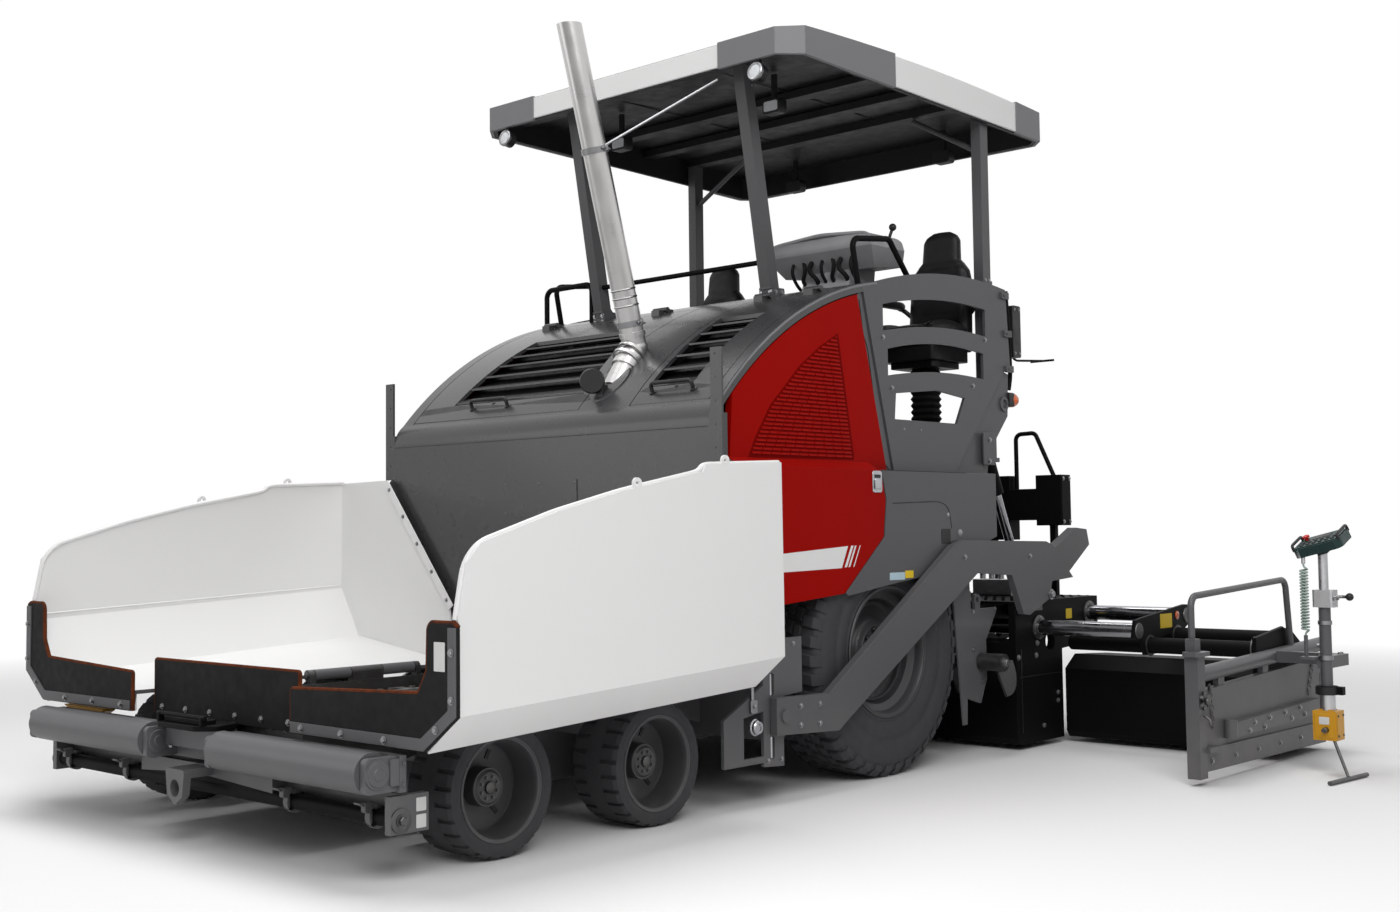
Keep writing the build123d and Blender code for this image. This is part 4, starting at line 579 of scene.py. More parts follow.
def hopper_trim():
    """Ply edge of the middle flap, its bolts, and studs and pins along the conveyor."""
    low, high = span("centre_flap")
    middle = (low.y + high.y) / 2
    edge = [(low.x, middle, low.z + 0.01), (low.x, middle, high.z), (high.x, middle, high.z),
            (high.x, middle, low.z + 0.01)]
    piece(Shape().tube(eased(edge, 0.012, False), 0.0092, 8), "centre_flap_ply", "chassis", RUBBER_PLY)
    heads = Shape().bolts([(x, low.y, low.z + 0.035) for x in steps(-0.5, 0.5, 6)], AHEAD, 0.01)
    piece(heads, "centre_flap_bolts", "chassis", ZINC)
    links = Shape()
    floor_low, floor_high = span("conveyor")
    rise = (floor_high.z - 0.012, floor_high.z)
    for x in (-0.514, -0.074, 0.074, 0.514):
        for y in steps(floor_low.y + 0.06, floor_high.y - 0.06, 56):
            links.slab((x - 0.009, x + 0.009), (y - 0.017, y + 0.017), rise, "z", 0.006)
    piece(links, "conveyor_links", "chassis", WORN_STEEL)


# ---------------------------------------------------------------- front end
ROLLER = span("push_roller_left")
ROLLER_Y, ROLLER_Z = (ROLLER[0].y + ROLLER[1].y) / 2, (ROLLER[0].z + ROLLER[1].z) / 2
BEAM_OUT = span("front_beam")[1].x
TUBE_Y, TUBE_Z = -3.24, 0.24


def roller_ends(side, sign):
    """Roller caps and end plates of the push beam."""
    cap = [(0, 0.056), (0.005, 0.056), (0.006, 0.047), (0.01, 0.045), (0.01, 0.024), (0.013, 0.021)]
    ends = Shape(sign).spun(cap, (1.326, ROLLER_Y, ROLLER_Z), OUT, 32)
    ends.spun(cap, (0.234, ROLLER_Y, ROLLER_Z), IN, 32)
    piece(ends, f"roller_caps_{side}", "push_beam", ARM_PAINT)
    hold = Shape(sign).slab((1.296, 1.338), (ROLLER_Y + 0.05, ROLLER_Y + 0.1), (0.372, 0.47), "x", 0.01)
    hold.bolts([(1.34, ROLLER_Y + 0.105, z) for z in (0.375, 0.45)], OUT, 0.009)
    piece(hold, f"beam_ends_{side}", "push_beam", FRAME_PAINT, round_edges=0.002)


def tube_clamps(side, sign):
    """T-bolts and end bosses of the front cross tube."""
    clamp = Shape(sign)
    front, top = TUBE_Y - 0.086, TUBE_Z + 0.058
    for x in (0.64, 1.18):
        clamp.slab((x - 0.014, x + 0.014), (TUBE_Y - 0.062, TUBE_Y - 0.02), (TUBE_Z + 0.02, TUBE_Z + 0.06),
                   "x", 0.008)
        clamp.tube([(x, TUBE_Y - 0.055, TUBE_Z + 0.045), (x, TUBE_Y - 0.085, top)], 0.006, 8)
        clamp.tube([(x - 0.022, front, top), (x + 0.022, front, top)], 0.005, 8)
    piece(clamp, f"tube_clamps_{side}", "chassis", ARM_PAINT, round_edges=0.0015)
    boss = Shape(sign).spun([(0, 0.046), (0.006, 0.046), (0.008, 0.042)], (BEAM_OUT, TUBE_Y, TUBE_Z), OUT, 28)
    boss.bolt((BEAM_OUT + 0.008, TUBE_Y, TUBE_Z), OUT, 0.018)
    piece(boss, f"tube_bosses_{side}", "chassis", DARK_STEEL)


def beam_cover():
    """Cover plate of the push beam with its handle and bolts."""
    rim = [(-0.22, -3.335), (-0.15, -3.4), (0.15, -3.4), (0.22, -3.335), (0.19, -3.215),
           (0.11, -3.19), (-0.11, -3.19), (-0.19, -3.215)]
    cover = Shape().prism(eased(rim, 0.02), "z", 0.49, 0.512)
    cover.slab((-0.15, 0.15), (-3.37, -3.29), (0.512, 0.53), "z", 0.02)
    cover.tube([(-0.19, -3.372, 0.545), (0.19, -3.372, 0.545)], 0.009, 10)
    for x in (-0.17, 0.17):
        cover.slab((x - 0.008, x + 0.008), (-3.385, -3.355), (0.508, 0.55), "x", 0.006)
    piece(cover, "beam_cover", "push_beam", BLACK_PAINT, round_edges=0.003)
    heads = Shape().bolts([(x, -3.325, 0.53) for x in (-0.1, 0.1)], UP, 0.012)
    heads.bolts([(x, -3.315, 0.4) for x in (-0.18, 0.18)], DOWN, 0.01)
    piece(heads, "beam_cover_bolts", "push_beam", ZINC)


def front_marks():
    """Yellow bracket behind the roller, blank labels and the apron's bolts."""
    funnel = [(-1.35, 0.492), (-1.276, 0.464), (-1.225, 0.424), (-1.14, 0.424), (-1.1, 0.45),
              (-1.02, 0.458), (-0.96, 0.482), (-0.96, 0.492)]
    bracket = Shape().prism(funnel, "y", -3.225, -3.16)
    piece(bracket, "yellow_bracket", "push_beam", YELLOW, round_edges=0.004)
    labels = Shape()
    for z in (0.202, 0.264):
        labels.slab((BEAM_OUT, BEAM_OUT + 0.001), (-3.168, -3.122), (z, z + 0.05), "x", 0.004)
    piece(labels, "beam_labels", "chassis", LABEL)
    heads = Shape().bolts([(x, -3.161, 0.5) for x in (-0.46, -0.36, 0.36, 0.46)], AHEAD, 0.01)
    piece(heads, "apron_bolts", "chassis", ZINC)


# ---------------------------------------------------------------- hood, covers and doors
HOOD_OUT, SKIN_OUT = 1.2, 1.275


def arc_points(x, depth, low, high, count=14):
    """Points that follow the hood's top at a depth."""
    return [(x, y, hood_z(y, depth)) for y in steps(low, high, count)]


def door_louvres(side, sign):
    """Louvre field of each side door: a darker red ground as painted shade between the slats, and rows of
    slats.
    """
    edge = ((1.643, -1.083), (1.741, -1.028), (1.902, -0.911), (2.115, -0.67), (2.224, -0.503),
            (2.303, -0.35))
    field = [(y, z) for z, y in edge] + [(-0.23, 1.671), (-0.236, 1.65)]
    body = f"service_door_{side}"
    # the darker ground is painted shade, standing for the shadows between the slats
    back = Shape(sign).prism(field, "x", HOOD_OUT, HOOD_OUT + 0.0008)
    piece(back, f"louvre_painted_shade_{side}", body, LOUVRE_PAINTED_SHADE)
    slats = Shape(sign)
    for row in range(31):
        z = 1.668 + row * 0.0205
        start, end = between(edge, z) + 0.012, -0.248 - (z - 1.671) * 0.19
        count = max(1, int((end - start) / 0.072))
        slope = [(0, z + 0.006), (0.0055, z - 0.005), (0.0055, z - 0.0065), (0, z - 0.0065)]
        for y in steps(start, end, count + 1)[:-1]:
            ends = (y + 0.003, y + (end - start) / count - 0.003)
            slats.loft([[(HOOD_OUT + out, place, height) for out, height in slope] for place in ends])
    piece(slats, f"louvres_{side}", body, RED_PAINT, smooth=20)


def door_latch(side, sign):
    """Latch plate with its slot, a black sheet of painted shade in the recess, and paddle."""
    body = f"service_door_{side}"
    across, front = (-0.164, -0.108), SKIN_OUT + 0.0038
    plate = Shape(sign).slab((SKIN_OUT, SKIN_OUT + 0.004), (-0.178, -0.094), (1.48, 1.594), "x", 0.018)
    piece(plate, f"latch_plate_{side}", body, CHROME, round_edges=0.0015)
    # black sheet as painted shade in the latch's recess
    slot = Shape(sign).slab((front, SKIN_OUT + 0.0046), across, (1.556, 1.574), "x", 0.006)
    piece(slot, f"latch_slot_shade_{side}", body, BLACK_PLASTIC)
    paddle = Shape(sign).slab((front, SKIN_OUT + 0.011), across, (1.498, 1.553), "x", 0.008)
    piece(paddle, f"latch_paddle_{side}", body, CHROME, round_edges=0.002)


def door_stripe(side, sign):
    """Painted stripe with its slashes, and the caps of the hinges."""
    body = f"service_door_{side}"
    stripe = [(-1.12, 1.084), (-1.12, 1.166), (-0.397, 1.207), (-0.451, 1.097)]
    paintwork = Shape(sign).prism(stripe, "x", SKIN_OUT, SKIN_OUT + 0.0006)
    for foot, wide in ((-0.428, 0.02), (-0.396, 0.014), (-0.355, 0.008)):
        slash = [(foot, 1.1), (foot + wide, 1.101), (foot + 0.058 + wide, 1.209), (foot + 0.058, 1.208)]
        paintwork.prism(slash, "x", SKIN_OUT, SKIN_OUT + 0.0006)
    piece(paintwork, f"door_stripe_{side}", body, WHITE_PAINT)
    pins = Shape(sign)
    for z in (1.02, 1.48):
        for low in (z - 0.028, z + 0.085):
            pins.spun([(0, 0.014), (0.005, 0.014), (0.007, 0.01)], (1.306, -1.232, low), UP, 16)
    piece(pins, f"door_hinge_caps_{side}", "chassis", ZINC)


def hood_trim(side, sign):
    """Door seals, rim tubes drawn light grey as a painted highlight along the hood's edge, jamb fillers and
    marker screws.
    """
    seal = Shape(sign).tube(arc_points(1.19, 0.0465, -1.195, -0.182), 0.006, 8)
    jamb = ((-0.178, 2.5), (-0.146, 2.31), (-0.112, 2.256), (-0.052, 1.935), (0.0, 1.655), (0.06, 1.612))
    seal.tube(eased([(1.186, y + 0.03, z) for y, z in jamb], 0.05, False), 0.006, 8)
    piece(seal, f"door_seal_{side}", "chassis", RUBBER)
    # the rolled edge is drawn light grey, a painted highlight along the hood's rounded edge
    rim = Shape(sign).tube(arc_points(HOOD_OUT - 0.004, 0.012, -1.285, 0.0), 0.008, 10)
    piece(rim, f"hood_rim_painted_highlight_{side}", "chassis", CAP_GREY)
    outline = [(0.07, 1.606), (0.12, 1.606), (-0.132, 2.566), (-0.168, 2.52)]
    filler = Shape(sign).prism(outline, "x", 1.16, 1.19)
    piece(filler, f"door_jamb_{side}", "chassis", BODY_PAINT, round_edges=0.003)
    screws = Shape(sign).bolts([(1.238, -1.3605, z) for z in steps(1.68, 2.12, 5)], AHEAD, 0.0035)
    piece(screws, f"marker_screws_{side}", "chassis", DARK_STEEL)


def hood_front():
    """Screws of the hatch and the joint line across the hood's front wall."""
    front = span("hood")[0].y
    screws = Shape()
    for x in (-0.24, 0.025, 0.289):
        for z in (1.394, 1.545):
            screws.spun([(0, 0.007), (0.002, 0.006), (0.0025, 0.002)], (x, front, z), AHEAD, 12)
    piece(screws, "hatch_screws", "chassis", DARK_STEEL)
    gap = Shape().box((-1.19, 1.19), (-1.3612, -1.36), (1.7795, 1.7825))
    piece(gap, "hood_joint", "chassis", BLACK_PLASTIC)


def cover_backing():
    """Dark backing and handle feet of the engine covers."""
    for side, low_x, high_x, ends in (("left", 0.643, 0.967, (0.717, 0.988)),
                                      ("right", -0.872, 0.202, (-0.661, -0.368))):
        body = f"engine_lid_{side}"
        under = [(y, hood_z(y, 0.06)) for y in steps(-1.212, -0.628, 10)]
        over = [(y, hood_z(y, 0.056)) for y in steps(-0.628, -1.212, 10)]
        back = Shape().prism(under + over, "x", low_x, high_x)
        piece(back, f"cover_backing_{side}", body, BLACK_PLASTIC)
        feet = Shape()
        for x in ends:
            feet.spun([(0, 0.02), (0.005, 0.02), (0.007, 0.015)], (x, -1.23, hood_z(-1.23) - 0.002),
                      (0, -0.62, 0.78), 16)
        middle = (sum(ends) / 2, -1.205, hood_z(-1.205) - 0.001)
        feet.spun([(0, 0.012), (0.003, 0.011), (0.004, 0.006)], middle, (0, -0.6, 0.8), 16)
        piece(feet, f"cover_handle_feet_{side}", body, BLACK_PLASTIC)


# ---------------------------------------------------------------- canopy and exhaust
def front_lamps(side, sign):
    """Front lamps under the canopy: ring and lens."""
    place, facing = (0.974, -0.716, 3.647), (0, 1, -0.15)
    bowl = Shape(sign).hoop([(0, 0.034), (-0.006, 0.036), (-0.009, 0.044), (-0.004, 0.049), (0.01, 0.049),
                             (0.01, 0.034)], place, facing, 32)
    piece(bowl, f"lamp_ring_{side}", "chassis", ZINC)
    dome = [(0.004, 0.038), (-0.004, 0.036), (-0.007, 0.024), (-0.008, 0.008)]
    piece(Shape(sign).spun(dome, place, facing, 32), f"lamp_lens_{side}", "chassis", LENS)


def work_lamps(side, sign):
    """Work lamps under the canopy and their glasses."""
    work = Shape(sign)
    for x, y in ((0.6, 1.6), (0.6, -0.1)):
        work.slab((x - 0.06, x + 0.06), (y - 0.035, y + 0.035), (3.61, 3.69), "y", 0.02)
        work.slab((x - 0.015, x + 0.015), (y - 0.012, y + 0.012), (3.685, 3.835), "z", 0.004)
    piece(work, f"work_lamps_{side}", "chassis", BLACK_PLASTIC, round_edges=0.004)
    glass = Shape(sign)
    for x, y, out in ((0.6, 1.635, 1), (0.6, -0.135, -1)):
        glass.slab((x - 0.048, x + 0.048), tuple(sorted((y, y + out * 0.003))), (3.622, 3.678), "y", 0.012)
    piece(glass, f"work_lamp_glass_{side}", "chassis", LENS)


def post_fixings(side, sign):
    """Bolts and flanges of the canopy posts."""
    base = Shape(sign)
    for z in (2.545, 2.585):
        base.bolts([(0.698, y, z) for y in (-0.238, -0.184)], OUT, 0.01)
        base.bolts([(x, -0.262, z) for x in (0.618, 0.682)], AHEAD, 0.01)
    base.bolts([(1.167, y, z) for y in (1.14, 1.18) for z in (2.745, 3.7, 3.745)], OUT, 0.009)
    base.bolts([(0.685, -0.395, z) for z in (3.7, 3.74)], OUT, 0.009)
    piece(base, f"post_bolts_{side}", "chassis", ZINC)
    shoe = Shape(sign).slab((1.095, 1.175), (1.112, 1.208), (2.69, 2.715), "z", 0.006)
    shoe.slab((1.095, 1.175), (1.112, 1.208), (2.722, 2.745), "z", 0.006)
    shoe.slab((0.608, 0.692), (-0.272, -0.15), (2.6, 2.612), "z", 0.006)
    piece(shoe, f"post_flanges_{side}", "chassis", POST_GREY, round_edges=0.002)


def canopy_middle():
    """Seams of the liner and the stay to the exhaust."""
    roof_top = span("canopy_roof")[1].z
    seams = Shape()
    for x in (-0.4, 0.4):
        seams.tube([(x, y, roof_top - 0.0335 - 0.01 * abs(y - 0.545)) for y in steps(-0.6, 1.7, 9)], 0.004, 6)
    piece(seams, "liner_seams", "chassis", CANOPY_BLACK)
    stay = Shape().tube([(0.372, -1.258, 3.251), (0.702, -0.7, 3.66)], 0.007, 10)
    stay.spun([(0, 0.014), (0.022, 0.014)], (0.365, -1.27, 3.243), (0.33, 0.56, 0.411), 12)
    piece(stay, "exhaust_stay", "chassis", ZINC)


EXHAUST_FOOT = Vector((0.335, -1.12, hood_z(-1.12)))
EXHAUST_KNEE, EXHAUST_TOP = Vector((0.335, -0.964, 2.253)), Vector((0.335, -1.434, 3.92))


def exhaust_clamps():
    """Two clamps with their bolts and the rolled beads of the stack."""
    rise, up = (EXHAUST_KNEE - EXHAUST_FOOT).normalized(), (EXHAUST_TOP - EXHAUST_KNEE).normalized()
    bands = Shape()
    for share in (0.075, 0.6):
        spot = EXHAUST_KNEE.lerp(EXHAUST_TOP, share)
        bands.hoop(collar(-0.016, 0.016, 0.0655, 0.0705), spot, up)
        bands.tube([spot + Vector((0.08, -0.02, 0)), spot + Vector((0.08, 0.03, 0))], 0.006, 8)
        bands.slab((spot.x + 0.066, spot.x + 0.092), (spot.y - 0.006, spot.y + 0.006),
                   (spot.z - 0.014, spot.z + 0.014), "y", 0.003)
    piece(bands, "exhaust_clamps", "chassis", ZINC)
    beads = Shape()
    for share in (0.13, 0.155, 0.18):
        beads.hoop([(-0.006, 0.0635), (0, 0.068), (0.006, 0.0635)], EXHAUST_KNEE.lerp(EXHAUST_TOP, share), up)
    for share in (0.6, 0.82):
        beads.hoop(collar(-0.008, 0.008, 0.073, 0.08), EXHAUST_FOOT.lerp(EXHAUST_KNEE, share), rise)
    piece(beads, "exhaust_beads", "chassis", STAINLESS)


def exhaust_base():
    """Foot flange of the stack, laid on the hood's curved top."""
    rings = []
    for radius, lift in ((0.105, 0.0), (0.105, 0.008), (0.066, 0.012)):
        spots = [(EXHAUST_FOOT.x + radius * math.cos(a), EXHAUST_FOOT.y - 0.03 + radius * math.sin(a))
                 for a in turns(32)]
        rings.append([(x, y, hood_z(y) + lift) for x, y in spots])
    piece(Shape().loft(rings), "exhaust_base", "chassis", HOOD_PAINT)


# ---------------------------------------------------------------- wheels
REAR_RIM, FRONT_RIM = 0.337, 0.204


def round_x(hub, along, angle, radius):
    """A point of a wheel, so far along its axle and round it."""
    return (hub[0] + along, hub[1] + radius * math.cos(angle), hub[2] + radius * math.sin(angle))


def block_row(shape, hub, across, pitches, share, offset=0.0, skew=0.0):
    """Rubber blocks round a tyre; across lists (along, foot radius, top radius) over one block."""
    pitch = 2 * math.pi / pitches
    for i in range(pitches):
        rings = []
        for along, foot, top in across:
            middle = (i + offset) * pitch + skew * (along - across[0][0])
            half, slope = pitch * share / 2, pitch * share * 0.07
            ring = ((middle - half, foot), (middle - half + slope, top), (middle + half - slope, top),
                    (middle + half, foot))
            rings.append([round_x(hub, along, angle, radius) for angle, radius in ring])
        shape.loft(rings)


def carcass(shape, hub, side):
    """Tyre body: one side's profile of (along, radius), mirrored for the other side and turned."""
    profile = [(-along, radius) for along, radius in side] + side[::-1]
    return shape.hoop(profile, hub, OUT, 96)


def wheel_size(node):
    """Hub of a tyre as on the left side, its radius and half its width."""
    low, high = span(node)
    hub = ((abs(low.x) + abs(high.x)) / 2, (low.y + high.y) / 2, (low.z + high.z) / 2)
    return hub, (high.z - low.z) / 2, (high.x - low.x) / 2


def rear_tyre(side, sign):
    """Carcass and tread blocks of a rear tyre."""
    node, body = f"rear_tyre_{side}", f"rear_wheel_{side}"
    hub, radius, half = wheel_size(node)
    rim, base = REAR_RIM, radius - 0.02
    rise = radius - rim
    wall = [(half * 0.86, rim + 0.002), (half * 0.905, rim + 0.01), (half * 0.925, rim + 0.022),
            (half * 0.9, rim + 0.03), (half * 0.95, rim + 0.046), (half * 0.98, rim + rise * 0.26),
            (half * 0.99, rim + rise * 0.36), (half * 0.975, rim + rise * 0.37),
            (half * 0.98, rim + rise * 0.46), (half * 0.994, rim + rise * 0.47),
            (half * 0.985, rim + rise * 0.66), (half * 0.945, radius * 0.945), (half * 0.82, base),
            (half * 0.4, base + 0.002)]
    made = piece(carcass(Shape(sign), hub, wall), f"rear_carcass_{side}", body, TYRE, smooth=50)
    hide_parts(node)
    tread = Shape(sign)
    shoulder = [(half * 0.47, base, radius), (half * 0.83, base, radius - 0.001),
                (half * 0.965, radius * 0.948, radius * 0.957),
                (half * 0.985, radius * 0.905, radius * 0.908)]
    block_row(tread, hub, shoulder, 42, 0.66, 0.0, 0.25)
    block_row(tread, hub, [(-along, foot, top) for along, foot, top in shoulder], 42, 0.66, 0.5, -0.25)
    for along, offset in ((-0.052, 0.75), (0.0, 0.25), (0.052, 0.55)):
        rib = [(along + shift, base, radius) for shift in (-0.021, 0, 0.021)]
        block_row(tread, hub, rib, 42, 0.78, offset, 0.55)
    piece(tread, f"rear_tread_{side}", body, TYRE, smooth=30, round_edges=0.004)


def rear_hub(side, sign):
    """Hub cover and bolts, rim rings and valve of a rear wheel."""
    body = f"rear_wheel_{side}"
    hub, _, half = wheel_size(f"rear_tyre_{side}")
    face = (hub[0] + 0.092, hub[1], hub[2])
    heads = Shape(sign).bolts([round_x(face, 0, a, 0.117) for a in turns(10)], OUT, 0.013)
    heads.spun([(0.0, 0.088), (0.012, 0.086), (0.02, 0.06), (0.022, 0.03)], face, OUT, 40)
    piece(heads, f"rear_hub_{side}", body, DARK_STEEL)
    rim, flange = REAR_RIM, half * 0.86 + 0.012
    rings = Shape(sign)
    rings.hoop([(flange - 0.004, rim - 0.004), (flange, rim + 0.008), (flange + 0.004, rim + 0.004),
                (flange + 0.003, rim - 0.008)], hub, OUT, 72)
    rings.hoop([(0.06, rim - 0.075), (0.066, rim - 0.078), (0.066, rim - 0.09), (0.058, rim - 0.092)], hub,
               OUT, 72)
    piece(rings, f"rear_rim_ring_{side}", body, RIM_PAINT)
    foot = Vector(round_x(hub, 0.075, 0.9, rim - 0.05))
    neck = foot + Vector((0.045, 0.006, 0.01))
    stem = Shape(sign).tube([foot, neck], 0.006, 10)
    stem.tube([neck, foot + Vector((0.06, 0.008, 0.013))], 0.0085, 10)
    piece(stem, f"rear_valve_{side}", body, BLACK_PLASTIC)


def front_tyre(side, sign, number):
    """Carcass and tread blocks of a front tyre."""
    node, body = f"front_tyre_{side}_{number}", f"front_wheel_{side}_{number}"
    hub, radius, half = wheel_size(node)
    rim, base = FRONT_RIM, radius - 0.013
    wall = [(half * 0.86, rim + 0.001), (half * 0.93, rim + 0.006), (half * 0.985, rim + 0.02),
            (half * 0.995, rim + 0.035), (half * 0.955, radius * 0.95), (half * 0.84, base),
            (half * 0.31, base), (half * 0.3, radius)]
    made = piece(carcass(Shape(sign), hub, wall), f"front_carcass_{side}_{number}", body, TYRE,
                 smooth=40)
    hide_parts(node)
    tread = Shape(sign)
    shoulder = [(half * 0.29, base, radius), (half * 0.84, base, radius - 0.0005),
                (half * 0.965, radius * 0.942, radius * 0.957)]
    block_row(tread, hub, shoulder, 26, 0.8)
    block_row(tread, hub, [(-along, foot, top) for along, foot, top in shoulder], 26, 0.8, 0.5)
    piece(tread, f"front_tread_{side}_{number}", body, TYRE, smooth=30, round_edges=0.003)


def front_hub(side, sign, number):
    """Hub cap and bolts, rim rings, and black blocks as painted shade in the rim's slots, of a front wheel.
    """
    body = f"front_wheel_{side}_{number}"
    hub, _, half = wheel_size(f"front_tyre_{side}_{number}")
    face = (hub[0] + 0.055, hub[1], hub[2])
    centre = Shape(sign).bolts([round_x(face, 0, a, 0.044) for a in turns(8, math.pi / 8)], OUT, 0.007)
    centre.spun([(0, 0.026), (0.01, 0.025), (0.014, 0.018), (0.014, 0.006)], face, OUT, 24)
    piece(centre, f"front_hub_{side}_{number}", body, DARK_STEEL)
    rim, lip = FRONT_RIM, half * 0.86
    dish = Shape(sign)
    dish.hoop([(0.04, 0.079), (0.046, 0.077), (0.046, 0.066), (0.04, 0.064)], hub, OUT, 40)
    dish.hoop([(lip + 0.006, rim - 0.006), (lip + 0.012, rim + 0.002), (lip + 0.012, rim + 0.006),
               (lip + 0.004, rim + 0.004)], hub, OUT, 64)
    dish.hoop([(-0.01, rim - 0.03), (-0.004, rim - 0.026), (-0.004, rim - 0.02), (-0.01, rim - 0.018)], hub,
              OUT, 48)
    piece(dish, f"front_rim_ring_{side}_{number}", body, RIM_PAINT)
    # black blocks on the rim stand for the shade seen through its slot holes
    slot_shade = Shape(sign)
    depth = Vector((0.006, 0, 0))
    for angle in turns(3, -0.9):
        out = Vector((0, math.cos(angle), math.sin(angle)))
        cross = Vector((0, -math.sin(angle), math.cos(angle))) * 0.009
        ring = []
        for reach, along in ((0.11, -0.013), (0.15, -0.008)):
            spot = Vector(hub) + out * reach + Vector((along, 0, 0))
            ring.append([spot - cross, spot + cross, spot + cross - depth, spot - cross - depth])
        slot_shade.loft(ring)
    piece(slot_shade, f"front_rim_slots_{side}_{number}", body, BLACK_PLASTIC)


def wheels(side, sign):
    """Tyres and hubs of one side's wheels."""
    rear_tyre(side, sign)
    rear_hub(side, sign)
    for number in (1, 2):
        front_tyre(side, sign, number)
        front_hub(side, sign, number)


# ---------------------------------------------------------------- arms, guides and lower body
ARM_OUT, SCREED_OUT, STAGE_OUT = 1.325, 1.275, 1.913
DECK_Z = 0.86

# hexagonal heads on both sides of the machine: body, outward face (X), head size, (y, z) of each
HEADS = (
    ("screed", ARM_OUT, 0.011, ((-0.864, 0.448), (-0.716, 0.446), (-0.866, 0.358), (-0.717, 0.353),
                                (0.608, 1.131), (1.303, 1.123))),
    ("screed", ARM_OUT, 0.022, ((1.533, 0.893),)),
    ("screed", SCREED_OUT, 0.012, ((1.444, 0.608), (1.429, 0.538), (1.232, 0.537), (1.675, 0.302),
                                   (1.673, 0.254), (1.501, 0.123))),
    ("chassis", HOOD_OUT, 0.01, ((0.049, 2.315), (1.069, 2.382), (0.123, 2.046), (0.928, 2.105),
                                 (1.052, 1.74))),
    ("chassis", HOOD_OUT, 0.005, ((0.228, 1.829), (0.39, 1.83))),
    ("chassis", 1.212, 0.011, ((1.076, 1.799), (1.071, 1.676))),
    ("chassis", 1.28, 0.009, ((-1.06, 0.205), (-0.96, 0.205), (-1.06, 0.64), (-0.86, 0.745))),
)


def side_heads():
    """Every head of the table, on both sides."""
    for number, (body, x, size, spots) in enumerate(HEADS, start=1):
        for side, sign in SIDES:
            made = Shape(sign).bolts([(x, y, z) for y, z in spots], OUT, size)
            piece(made, f"heads_{number}_{side}", body, ZINC)


def arm_guides(side, sign):
    """Knob, clevis and rods of each tow point's guide."""
    knob = Shape(sign).spun([(0, 0.04), (0.006, 0.04), (0.01, 0.034), (0.022, 0.034), (0.028, 0.028),
                             (0.028, 0.018), (0.022, 0.016)], (1.28, -1.155, 0.372), OUT, 32)
    piece(knob, f"guide_knob_{side}", "chassis", CHROME)
    link = Shape(sign).slab((1.28, 1.296), (-1.196, -1.15), (0.438, 0.5), "x", 0.01)
    link.tube([(1.288, -1.18, 0.5), (1.288, -1.18, 0.56)], 0.01, 12)
    link.tube([(1.278, -1.172, 0.47), (1.306, -1.172, 0.47)], 0.009, 12)
    piece(link, f"guide_clevis_{side}", "chassis", ZINC, round_edges=0.002)
    rods = Shape(sign)
    for z in (0.265, 0.56):
        rods.tube([(1.268, -1.025, z - 0.05), (1.268, -1.025, z + 0.05)], 0.009, 12)
    piece(rods, f"guide_rods_{side}", "chassis", CHROME)


def body_cover(side, sign):
    """Gap line, a black plate as painted shade in the handle recess, and screws of the lower body's cover."""
    flat = Shape(sign)
    for y, z, size in ((0.525, 1.363, 0.014), (0.641, 1.263, 0.022)):
        flat.spun([(0, size), (0.002, size), (0.004, size * 0.7)], (SKIN_OUT, y, z), OUT, 20)
    piece(flat, f"cover_screws_{side}", "chassis", ZINC)
    line = ((0.004, 1.426), (0.448, 1.439), (0.536, 1.405), (0.56, 1.29))
    seam = Shape(sign).tube(eased([(1.2752, y, z) for y, z in line], 0.06, False), 0.0028, 6)
    # black plate as painted shade in the cut-out handle's recess
    seam.slab((SKIN_OUT, 1.2765), (0.455, 0.545), (1.205, 1.288), "x", 0.012)
    seam.box((1.2748, 1.2756), (-0.08, 0.72), (1.5965, 1.6))
    piece(seam, f"cover_gap_and_recess_shade_{side}", "chassis", BLACK_PLASTIC)


def hanger_bolts(side, sign):
    """Bolts of the auger hangers and the weld along each arm."""
    spots = ((1.115, 0.822), (0.88, 0.815), (0.875, 0.6), (0.96, 0.42))
    lugs = Shape(sign).bolts([(1.196, y, z) for y, z in spots], OUT, 0.009)
    lugs.bolt((1.354, 0.95, 0.53), OUT, 0.02)
    piece(lugs, f"hanger_bolts_{side}", "chassis", ZINC)
    line = ((-0.63, 0.492), (0.5, 1.194), (0.604, 1.2215))
    weld = Shape(sign).tube([(ARM_OUT + 0.0005, y, z) for y, z in line], 0.0025, 6)
    piece(weld, f"arm_weld_{side}", "screed", ARM_PAINT)


def body_labels():
    """Two blank labels on the left of the lower body."""
    for name, y, z, finish in (("body_label_pale", (-0.037, 0.1), (1.023, 1.062), LABEL_BLUE),
                               ("body_label_yellow", (0.104, 0.18), (1.03, 1.069), LABEL_YELLOW)):
        piece(Shape().slab((SKIN_OUT, SKIN_OUT + 0.0008), y, z, "x", 0.004), name, "chassis", finish)


# ---------------------------------------------------------------- screed
UPPER_TUBES = ((1.467, 0.7), (2.08, 0.76))
LOWER_TUBES = ((1.6, 0.612), (1.947, 0.65))
FLANGE = [(0, 0.0475), (0, 0.072), (0.008, 0.072), (0.011, 0.06), (0.012, 0.052), (0.012, 0.0475)]


